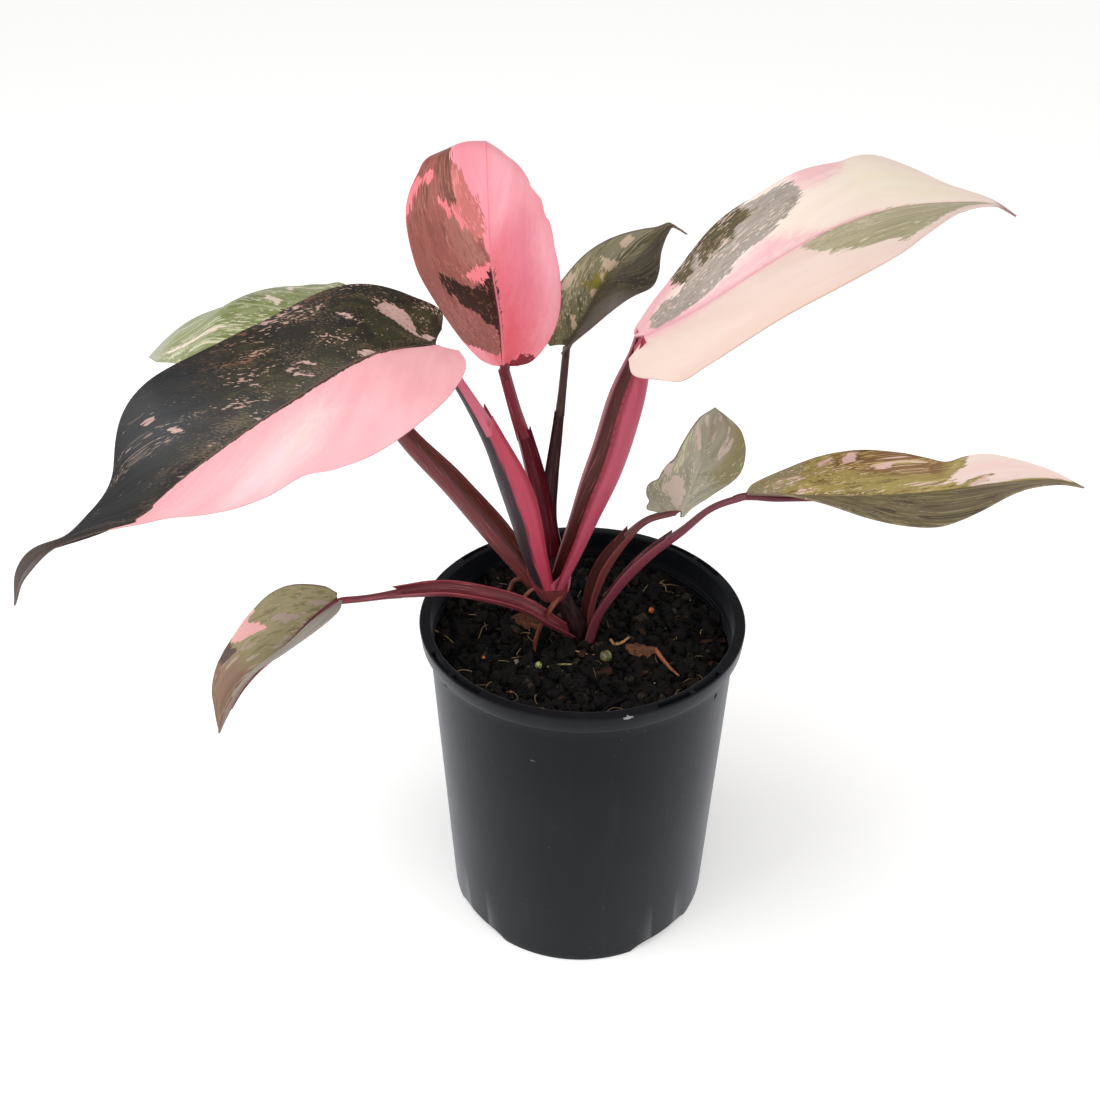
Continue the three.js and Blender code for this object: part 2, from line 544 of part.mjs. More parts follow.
const twigSolid = ({ path, radius }) => strand(overMix(path), radius, { sides: 6, taper: 0.7 });

// ---------------------------------------------------------------- scene

const material = (color, roughness) =>
  new THREE.MeshStandardMaterial({ color, roughness, metalness: 0, side: THREE.DoubleSide });

const plant = new THREE.Group();
plant.name = "potted_philodendron";

function place(name, geometry, look) {
  const mesh = new THREE.Mesh(geometry, look);
  mesh.name = name;
  plant.add(mesh);
}

const BLADE_COLOURS = { a: "#4a3d38", b: "#7f9157", c: "#f090a2", d: "#6f7554", e: "#ecd5c6",
  f: "#7d7340", g: "#8f8f74", h: "#85795a" };
const PETIOLE_COLOURS = { a: "#8a3a4c", b: "#6b3034", c: "#7c1e30", d: "#402a30", e: "#b0566a",
  f: "#6d2f3a", g: "#6b343a", h: "#84414c" };

place("pot", toGeometry(potSolid()), material("#33363a", 0.5));
place("main_stem", toGeometry(stemSolid()), material("#3c1f28", 0.5));

// Each petiole keeps clear of the stem and of the petioles inside it, and each blade of its petiole.
const taken = [stemSolid(GAP)];
const placeCut = (name, solid, cutters, look) =>
  place(name, toGeometry(largestBody(cut(solid, cutters))), look);
for (const name of WRAPPING_ORDER) {
  const leaf = LEAVES[name];
  placeCut(`petiole_${name}`, petioleSolid(leaf.petiole), taken, material(PETIOLE_COLOURS[name], 0.4));
  const clearance = petioleSolid(leaf.petiole, GAP);
  placeCut(`leaf_blade_${name}`, bladeSolid(leaf), [clearance], material(BLADE_COLOURS[name], 0.35));
  taken.push(clearance);
}
ROOTS.forEach(({ path, radius }, i) => {
  placeCut(`aerial_root_${i + 1}`, strand(path, radius), taken, material("#8a4238", 0.6));
  taken.push(strand(path, radius, { grow: GAP }));
});

const mixGeometry = pottingMixGeometry();
placeCut("potting_mix", toSolid(mixGeometry), taken, material("#17130f", 0.95));

const uncutMix = new THREE.Mesh(mixGeometry);
function scatter(name, pieces, solidOf, look) {
  pieces.forEach((piece, i) =>
    place(`${name}_${i + 1}`, laidOnMix(toGeometry(solidOf(piece)), uncutMix), look));
}
scatter("prill", PRILLS, prillSolid, material("#8b8a4a", 0.4));
scatter("dry_leaf", DRY_LEAVES, dryLeafSolid, material("#5a3a28", 0.8));
scatter("twig", TWIGS, twigSolid, material("#b08a5c", 0.8));

export default plant;
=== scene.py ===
# %% [markdown]
# # A variegated philodendron in a nursery pot
# The plant is eight heart-shaped leaves on sheathed petioles, a short leaning stem and a few aerial
# roots, in a round plastic pot of dark potting mix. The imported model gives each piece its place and
# size. This lesson gives each one its fine shape and its finish.

# %% Load the frame
import math

import bmesh
import bpy
import numpy as np
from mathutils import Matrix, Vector, noise


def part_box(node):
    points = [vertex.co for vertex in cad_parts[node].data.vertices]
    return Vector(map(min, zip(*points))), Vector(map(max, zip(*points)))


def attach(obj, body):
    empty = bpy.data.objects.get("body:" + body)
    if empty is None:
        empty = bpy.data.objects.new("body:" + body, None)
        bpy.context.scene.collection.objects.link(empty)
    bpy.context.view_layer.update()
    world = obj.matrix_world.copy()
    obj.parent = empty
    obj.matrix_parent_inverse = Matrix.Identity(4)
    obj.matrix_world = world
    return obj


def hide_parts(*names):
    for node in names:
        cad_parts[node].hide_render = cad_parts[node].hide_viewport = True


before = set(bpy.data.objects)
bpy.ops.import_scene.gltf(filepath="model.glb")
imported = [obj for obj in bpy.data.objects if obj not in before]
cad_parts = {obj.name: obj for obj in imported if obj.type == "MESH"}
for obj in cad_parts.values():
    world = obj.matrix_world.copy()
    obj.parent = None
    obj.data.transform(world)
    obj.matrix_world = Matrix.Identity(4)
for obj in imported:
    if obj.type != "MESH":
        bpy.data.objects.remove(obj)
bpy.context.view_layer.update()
MM = 0.001
print("nodes:", len(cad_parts))

# %% [markdown]
# ## Camera and light
# The plant is looked at from the front and from well above, so the camera tilts down by 33 degrees.
# Soft leaves need soft light, and a bright sky gives most of it. A glossy leaf mirrors what lies
# behind it, so the sky is dim there, which keeps dark leaves dark. One wide lamp at the upper left
# puts the sheen on them.

# %% Camera
CAMERA_PLACE = (-0.0138, -0.4193, 0.4572)
CAMERA_TILT_DOWN = 33.0
camera_data = bpy.data.cameras.new("camera")
camera_data.sensor_width = 36.0
camera_data.lens = 39.27
camera = bpy.data.objects.new("camera", camera_data)
bpy.context.scene.collection.objects.link(camera)
camera.location = CAMERA_PLACE
camera.rotation_euler = (math.radians(90.0 - CAMERA_TILT_DOWN), 0.0, 0.0)
bpy.context.scene.camera = camera
bpy.context.scene.view_settings.view_transform = "Standard"

# %% Sky and lamps
world = bpy.data.worlds.new("studio")
bpy.context.scene.world = world
world.use_nodes = True
SKY_STRENGTH, DIM_STRENGTH = 1.06, 0.22
DIM_DIRECTION, DIM_EDGE, DIM_CORE = (0.05, 0.68, 0.73), 0.5, 0.93
nodes, links = world.node_tree.nodes, world.node_tree.links
direction = nodes.new("ShaderNodeTexCoord").outputs["Generated"]
towards = nodes.new("ShaderNodeVectorMath")
towards.operation = "DOT_PRODUCT"
towards.inputs[1].default_value = DIM_DIRECTION
links.new(direction, towards.inputs[0])
dimmed = nodes.new("ShaderNodeMapRange")
dimmed.interpolation_type = "SMOOTHSTEP"
for label, value in {"From Min": DIM_EDGE, "From Max": DIM_CORE, "To Min": SKY_STRENGTH,
                     "To Max": DIM_STRENGTH}.items():
    dimmed.inputs[label].default_value = value
links.new(towards.outputs["Value"], dimmed.inputs["Value"])
nodes["Background"].inputs["Color"].default_value = (1.0, 0.995, 0.985, 1.0)
links.new(dimmed.outputs["Result"], nodes["Background"].inputs["Strength"])


def area_lamp(name, place, aim, size, power, colour):
    """A soft square lamp at a place, turned towards a point."""
    data = bpy.data.lights.new(name, "AREA")
    data.shape = "RECTANGLE"
    data.size, data.size_y = size
    data.energy = power
    data.color = colour
    lamp = bpy.data.objects.new(name, data)
    bpy.context.scene.collection.objects.link(lamp)
    lamp.location = place
    lamp.rotation_euler = (Vector(aim) - Vector(place)).to_track_quat("-Z", "Y").to_euler()
    return lamp


PLANT_MIDDLE = (0.0, 0.0, 0.2)
area_lamp("key", (-0.80, -0.34, 1.36), (-0.12, 0.0, 0.24), (0.75, 0.75), 6.2, (0.97, 0.985, 1.0))
area_lamp("front_fill", (0.5, -1.5, 1.2), PLANT_MIDDLE, (1.4, 1.0), 1.6, (1.0, 0.985, 0.96))
area_lamp("left_edge", (-1.1, 0.15, 0.25), (0, 0, 0.1), (0.4, 1.0), 3.0, (1.0, 1.0, 1.0))
area_lamp("right_edge", (1.1, 0.15, 0.25), (0, 0, 0.1), (0.4, 1.0), 2.2, (1.0, 0.98, 0.95))

# %% [markdown]
# ## Working by hand, in code
# Every piece starts as one of Blender's primitives. Its vertices are then moved, extruded, spun or
# merged as by hand. These helpers do the steps that come back again and again: clear the selection,
# read and write vertices in millimetres, and hand a finished piece to the frame.

# %% Helpers for pieces
def deselect_all():
    bpy.ops.object.select_all(action="DESELECT")


def edit_all():
    bpy.ops.object.mode_set(mode="EDIT")
    bpy.ops.mesh.select_all(action="SELECT")


def leave_edit():
    bpy.ops.object.mode_set(mode="OBJECT")


def read_mm(piece):
    flat = np.zeros(len(piece.data.vertices) * 3, np.float32)
    piece.data.vertices.foreach_get("co", flat)
    return flat.reshape(-1, 3).astype(float) / MM


def write_mm(piece, points):
    piece.data.vertices.foreach_set("co", (np.asarray(points) * MM).astype(np.float32).ravel())
    piece.data.update()


def hold(piece, name, value):
    """Keeps a number or a vector on every vertex, for the material to read."""
    value = np.asarray(value, np.float32)
    kind, key = ("FLOAT_VECTOR", "vector") if value.ndim == 2 else ("FLOAT", "value")
    layer = piece.data.attributes.get(name) or piece.data.attributes.new(name, kind, "POINT")
    layer.data.foreach_set(key, value.ravel())


def held(piece, name):
    layer = piece.data.attributes[name]
    wide = layer.data_type == "FLOAT_VECTOR"
    flat = np.zeros(len(layer.data) * (3 if wide else 1), np.float32)
    layer.data.foreach_get("vector" if wide else "value", flat)
    return flat.reshape(-1, 3) if wide else flat


def shaped_grid(name, columns, rows, place, keep=None, tube=False):
    """A grid whose vertices go where place(across, along) puts them, both from 0 to 1.
    keep(across, along) gives the values to hold on them. A tube is closed at its seam and ends."""
    deselect_all()
    bpy.ops.mesh.primitive_grid_add(x_subdivisions=columns, y_subdivisions=rows, size=1.0)
    piece = bpy.context.object
    piece.name = name
    flat = read_mm(piece) * MM
    across = np.round((flat[:, 0] + 0.5) * columns) / columns
    along = np.round((flat[:, 1] + 0.5) * rows) / rows
    write_mm(piece, place(across, along))
    for key, value in (keep(across, along) if keep else {}).items():
        hold(piece, key, value)
    edit_all()
    bpy.ops.mesh.remove_doubles(threshold=2e-6)
    if tube:
        bpy.ops.mesh.fill_holes(sides=0)
        bpy.ops.mesh.normals_make_consistent(inside=False)
    leave_edit()
    return piece


def thicken(piece, millimetres, offset=0.0):
    deselect_all()
    piece.select_set(True)
    bpy.context.view_layer.objects.active = piece
    shell = piece.modifiers.new("thickness", "SOLIDIFY")
    shell.thickness = millimetres * MM
    shell.offset = offset
    bpy.ops.object.modifier_apply(modifier=shell.name)


def smooth(piece, angle=45.0):
    deselect_all()
    piece.select_set(True)
    bpy.context.view_layer.objects.active = piece
    bpy.ops.object.shade_smooth_by_angle(angle=math.radians(angle))


def finish(piece, material, slot, *nodes):
    """Gives a piece its material, and stands it in for the CAD nodes it replaces. The slot is not used."""
    piece.data.materials.clear()
    piece.data.materials.append(material)
    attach(piece, "root")
    if nodes:
        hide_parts(*nodes)
    return piece


# %% [markdown]
# ## Smooth lines and tables
# A leaf's midrib, its outline and a petiole's axis are smooth lines through a few points. A table
# of stations gives a value that changes along a line, such as how steeply half a blade folds up.

# %% Lines and tables
LINE_STEPS = 60


class Line:
    """A smooth line through points, measured along its length."""

    def __init__(self, points):
        through = [np.array(p, float) for p in points]
        through = [2 * through[0] - through[1], *through, 2 * through[-1] - through[-2]]
        spots = []
        for p0, p1, p2, p3 in zip(through, through[1:], through[2:], through[3:]):
            gap0, gap1, gap2 = (np.sqrt(np.linalg.norm(b - a))
                                for a, b in ((p0, p1), (p1, p2), (p2, p3)))
            lead = ((p1 - p0) / gap0 - (p2 - p0) / (gap0 + gap1) + (p2 - p1) / gap1) * gap1
            trail = ((p2 - p1) / gap1 - (p3 - p1) / (gap1 + gap2) + (p3 - p2) / gap2) * gap1
            t = np.linspace(0, 1, LINE_STEPS, endpoint=False)[:, None]
            spots.append(p1 + lead * t + (3 * (p2 - p1) - 2 * lead - trail) * t**2
                         + (2 * (p1 - p2) + lead + trail) * t**3)
        self.points = np.vstack([*spots, through[-2]])
        steps_long = np.linalg.norm(np.diff(self.points, axis=0), axis=1)
        self.travel = np.concatenate([[0.0], np.cumsum(steps_long)])
        self.length = self.travel[-1]

    def inside(self, s):
        s = np.clip(s, 0, self.length)
        return np.stack([np.interp(s, self.travel, self.points[:, k])
                         for k in range(self.points.shape[1])], -1)

    def heading(self, s):
        reach = self.length * 0.01
        start = np.clip(s - reach, 0, self.length - 2 * reach)
        way = self.inside(start + 2 * reach) - self.inside(start)
        return way / np.linalg.norm(way, axis=-1, keepdims=True)

    def at(self, s):
        """A point by length, running straight on past either end."""
        s = np.asarray(s, float)
        before, after = np.minimum(s, 0), np.maximum(s - self.length, 0)
        start, end = self.heading(np.zeros(1))[0], self.heading(np.full(1, self.length))[0]
        return self.inside(s) + before[..., None] * start + after[..., None] * end


def value_at(stations, x):
    """A smooth value through [[x, value], ...] stations."""
    knots = np.array(stations, float)
    xs, values = knots[:, 0], knots[:, 1]
    before = np.maximum(np.arange(len(xs)) - 1, 0)
    after = np.minimum(np.arange(len(xs)) + 1, len(xs) - 1)
    slopes = (values[after] - values[before]) / (xs[after] - xs[before])
    x = np.clip(x, xs[0], xs[-1])
    i = np.clip(np.searchsorted(xs, x, side="right") - 1, 0, len(xs) - 2)
    h = xs[i + 1] - xs[i]
    t = (x - xs[i]) / h
    return ((2 * t**3 - 3 * t**2 + 1) * values[i] + (t**3 - 2 * t**2 + t) * h * slopes[i]
            + (3 * t**2 - 2 * t**3) * values[i + 1] + (t**3 - t**2) * h * slopes[i + 1])


def evenly(values, f):
    """A smooth value through evenly spread values."""
    return value_at([[i / (len(values) - 1), v] for i, v in enumerate(values)], f)


def square_to(way, axes):
    """A direction turned square to each of the axes, of unit length."""
    way = np.broadcast_to(np.array(way, float), axes.shape)
    way = way - (way * axes).sum(-1, keepdims=True) * axes
    return way / np.linalg.norm(way, axis=-1, keepdims=True)


SEAM_SIDE = (0.31, -0.87, 0.38)
BUMPS_ALONG, BUMPS_ROUND = 9, 3


def strand(name, points, radii, sides=12, rings=40, wobble=0.0, seed=0.0):
    """A round tapering strand through points, a little uneven where wobble says so.
    As many radii as points belong to the points, and fewer or more are spread evenly."""
    line = Line(points)
    at_points = line.travel[::LINE_STEPS] / line.length
    stations = at_points if len(radii) == len(points) else np.linspace(0, 1, len(radii))

    def place(across, along):
        s = along * line.length
        heading = line.heading(s)
        out = square_to(SEAM_SIDE, heading)
        side = np.cross(out, heading)
        turn = across * 2 * math.pi
        uneven = np.array([
            noise.noise(Vector((f * BUMPS_ALONG + seed, seed, BUMPS_ROUND * math.cos(a))))
            for f, a in zip(along, turn)])
        radius = value_at(np.stack([stations, radii], -1), along) * (1 + wobble * uneven)
        return (line.at(s) + side * (radius * np.cos(turn))[:, None]
                + out * (radius * np.sin(turn))[:, None])

    def keep(across, along):
        return {"fibre": np.stack([across * 2 * math.pi * max(radii), along * line.length,
                                   np.full_like(along, seed)], -1)}

    piece = shaped_grid(name, sides, rings, place, keep, tube=True)
    smooth(piece, 70)
    return piece


# %% [markdown]
# ## The leaves' shapes
# Each blade is two curved halves along a midrib. An outline holds [along, out] millimetres of the
# flattened half, fold raises it at the midrib, and cup bends it towards the margin. The petiole
# below it is a line from the crown, with its width, the way its groove looks, and the place where
# its sheath ends. The solid model was built from much the same measures. Some sheaths are drawn
# wider here, and three petioles start a few millimetres from where theirs do.

# %% Leaf measures
LEAVES = {
    "a": dict(
        midrib=[[-55, -15, 283], [-78, -22, 282], [-108, -33, 268], [-138, -46, 251], [-161, -55, 235],
                [-177, -58, 230], [-192, -60, 225], [-204, -60, 214], [-212, -58, 198]],
        side=[-0.2, 0.85, 0.5], roll=[[0, -22], [0.5, 0], [1, 15]],
        right=dict(outline=[[-4, 8], [-6, 18], [3, 31], [28, 46], [65, 45], [100, 39], [126, 14],
                            [146, 4], [170, 3], [193, 0]],
                   fold=[[0, 15], [0.4, 12], [0.75, 35], [1, 30]], cup=[[0, -25], [1, -10]]),
        left=dict(outline=[[-6.5, 9], [-6.5, 19], [3, 31], [28, 40], [65, 34], [96, 23], [118, 9],
                           [142, 3], [170, 2.5], [193, 0]],
                  fold=[[0, 14], [0.4, 0], [0.75, 20], [1, 6]], cup=[[0, -30], [1, -15]]),
        petiole=dict(path=[[-14.5, -3.8, 167], [-19, -6, 187], [-24, -8, 210], [-31, -10, 233],
                           [-40, -13, 254], [-48, -15, 270], [-55, -15, 282]],
                     width=[10, 14.5, 16.5, 15.5, 10.5, 7, 5.5], channel=[0.8, 0.3, 0.5], sheath=0.68)),
    "b": dict(
        midrib=[[-101, 40, 268], [-113, 45, 272], [-124, 50, 271], [-134, 54, 271], [-148, 60, 269],
                [-159, 65, 262], [-179, 74, 248], [-194, 80, 236]],
        side=[0.4, 0.9, 0], roll=[[0, 9], [0.5, -5], [1, 16]],
        right=dict(outline=[[-5, 6], [-5, 14], [5, 23], [32, 33], [65, 32], [88, 19], [104, 7], [112, 0]],
                   fold=[[0, 8], [1, 8]], cup=[[0, -20], [1, -20]]),
        left=dict(outline=[[-5, 8], [-5, 16], [5, 25], [32, 33], [65, 29], [88, 16], [104, 7], [112, 0]],
                  fold=[[0, -20], [1, -20]], cup=[[0, -20], [1, -20]]),
        petiole=dict(path=[[-19, 7, 164], [-34, 14, 183], [-53, 20, 204], [-74, 28, 224],
                           [-88, 35, 244], [-101, 40, 266]],
                     width=[12, 16, 13.5, 10.5, 8, 5.5], channel=[0.85, 0.05, 0.52], sheath=0.86)),
    "c": dict(
        midrib=[[-32, 15, 261], [-33, 17, 280], [-36, 20, 302], [-37, 28, 323], [-38, 45, 337],
                [-39, 60, 336], [-39, 76, 329]],
        side=[1, -0.2, 0], roll=[[0, 4], [0.5, -18], [1, 5]],
        right=dict(outline=[[-1, 6], [-0.5, 13], [12, 27], [40, 34], [70, 33], [95, 26], [113, 9], [119, 0]],
                   fold=[[0, -45], [0.4, -31], [0.75, -33], [1, -20]], cup=[[0, -20], [1, -20]]),
        left=dict(outline=[[-0.5, 5], [1, 12], [12, 24], [40, 32], [70, 33], [95, 24], [113, 8], [119, 0]],
                  fold=[[0, -24], [0.4, -15], [0.75, -18], [1, -5]], cup=[[0, -20], [1, -20]]),
        petiole=dict(path=[[-14, 9, 165], [-15, 10, 183], [-18, 12, 202], [-23, 14, 225],
                           [-28, 15, 243], [-32, 15, 260]],
                     width=[9, 8.8, 8.4, 7, 5.4, 4.8], channel=[0.3, -0.6, 0.4], sheath=0.68)),
    "d": dict(
        midrib=[[-7, 40, 259], [-2, 43, 266], [8, 50, 283], [22, 58, 294], [32, 63, 300],
                [35, 65, 301], [39, 67, 299], [43, 69, 296]],
        side=[0.85, -0.35, -0.4], roll=[[0, 24], [0.5, -11], [1, -22]],
        right=dict(outline=[[-4, 5], [-2, 9], [10, 13], [30, 16], [45, 16], [57, 8], [66, 3], [76, 0]],
                   fold=[[0, 60], [0.4, 46], [1, 40]], cup=[[0, -30], [1, -30]]),
        left=dict(outline=[[-4, 6], [-2, 10], [10, 16], [30, 15], [48, 10], [58, 5], [66, 2.5], [76, 0]],
                  fold=[[0, 55], [0.4, 46], [1, 50]], cup=[[0, -20], [1, -20]]),
        petiole=dict(path=[[-9, 12, 165], [-14, 20, 187], [-13, 26, 204], [-11, 31, 220],
                           [-9, 36, 237], [-7, 40, 258.5]],
                     width=[7.6, 7.2, 6.4, 5, 3.6, 3.2], channel=[-0.2, -0.8, 0.3], sheath=0.7)),
    "e": dict(
        midrib=[[21, -5, 282], [41, -6, 294], [64, -6, 310], [85, -4, 322], [106, 0, 328],
                [128, 4, 329], [145, 8, 327], [155, 10, 322]],
        side=[0.1, -1, 0], roll=[[0, -6], [0.5, -13], [1, 5]],
        right=dict(outline=[[-8, 7], [-8, 15], [6, 23], [38, 28], [76, 30], [105, 22], [126, 8],
                            [140, 3], [149, 0]],
                   fold=[[0, -8], [0.4, 15], [0.75, 14], [1, 5]], cup=[[0, -35], [1, -30]]),
        left=dict(outline=[[-3.5, 3.5], [-3, 9], [7, 18], [38, 24], [76, 27], [105, 30], [126, 10],
                           [140, 3], [149, 0]],
                  fold=[[0, 6], [0.4, 34], [0.75, 19], [1, 17]], cup=[[0, -20], [1, -20]]),
        petiole=dict(path=[[-11.5, -5.5, 172], [-6.5, -7, 188], [0, -8, 208], [7, -8, 228],
                           [13, -7, 248], [18, -6, 266], [21, -5, 280]],
                     width=[10, 13, 15, 17, 17, 14, 7], channel=[-0.82, -0.2, 0.5], sheath=0.98)),
    "f": dict(
        midrib=[[62, -25, 226], [81, -27, 227], [103, -29, 228], [128, -31, 231], [153, -33, 236],
                [171, -34, 237], [184, -35, 235]],
        side=[0.1, -1, -0.1], roll=[[0, 20], [0.5, -16], [1, 0]],
        right=dict(outline=[[-1, 2], [2, 7], [25, 16], [55, 22], [80, 19], [102, 8], [123, 0]],
                   fold=[[0, 31], [1, 31]], cup=[[0, -20], [1, -20]]),
        left=dict(outline=[[-1, 2], [2, 8], [25, 20], [55, 17], [80, 13], [102, 8], [123, 0]],
                  fold=[[0, 18], [0.4, 25], [1, 24]], cup=[[0, -20], [1, -20]]),
        petiole=dict(path=[[2, -2, 136], [6, -4, 154], [15, -7.3, 173], [26.5, -12, 191],
                           [38, -17, 205], [49, -22, 219], [61, -25, 225.9]],
                     width=[7, 6.5, 6.5, 6.2, 5, 3.8, 3.6], channel=[-0.5, 0.1, 0.85], sheath=0.64)),
    "g": dict(
        midrib=[[40, 5, 201], [43, 7, 208], [48, 11, 221], [52, 19, 232], [54, 26, 238]],
        side=[1, -0.2, -0.2], roll=[[0, -14], [0.5, -16], [1, 0]],
        right=dict(outline=[[-3, 4], [-2, 8], [6, 14], [24, 18], [36, 12], [46, 0]],
                   fold=[[0, -45], [0.4, -7], [0.75, 13], [1, 19]], cup=[[0, -10], [1, -10]]),
        left=dict(outline=[[-4, 8], [-4, 15], [6, 17], [24, 14], [36, 9], [46, 0]],
                  fold=[[0, 3], [0.4, 26], [0.75, 38], [1, 38]], cup=[[0, -10], [1, -10]]),
        petiole=dict(path=[[1.5, 2.5, 136], [3, 3.5, 156], [8, 4.3, 172], [16, 4, 186], [26, 4, 197],
                           [38, 5, 200.5]],
                     width=[6.5, 7, 7.8, 6.6, 4, 3.4], channel=[-0.5, -0.2, 0.8], sheath=0.7)),
    "h": dict(
        midrib=[[-97, -35, 184], [-107, -38, 177], [-117, -42, 168], [-128, -46, 160],
                [-137, -49, 150], [-144, -51, 138], [-148, -52, 130]],
        side=[-0.3, 0.9, 0.2], roll=[[0, 16], [0.5, -11], [1, 11]],
        right=dict(outline=[[-2, 3], [0, 9], [14, 18], [32, 20], [50, 15], [68, 5], [77, 0]],
                   fold=[[0, 65], [0.4, 52], [1, 56]], cup=[[0, -20], [1, -20]]),
        left=dict(outline=[[-2, 3], [0, 9], [14, 16], [32, 18], [50, 14], [68, 5], [77, 0]],
                  fold=[[0, 42], [1, 38]], cup=[[0, -20], [1, -20]]),
        petiole=dict(path=[[-4.5, -5.5, 146.5], [-13, -12, 157], [-22, -15, 166], [-36, -20, 175],
                           [-54, -26, 183], [-70, -30, 184.5], [-86, -34, 184.5], [-96, -35, 184]],
                     width=[6.5, 7, 7, 6.8, 6.6, 5.8, 3.4, 3.2], channel=[0.2, -0.25, 1], sheath=0.78)),
}
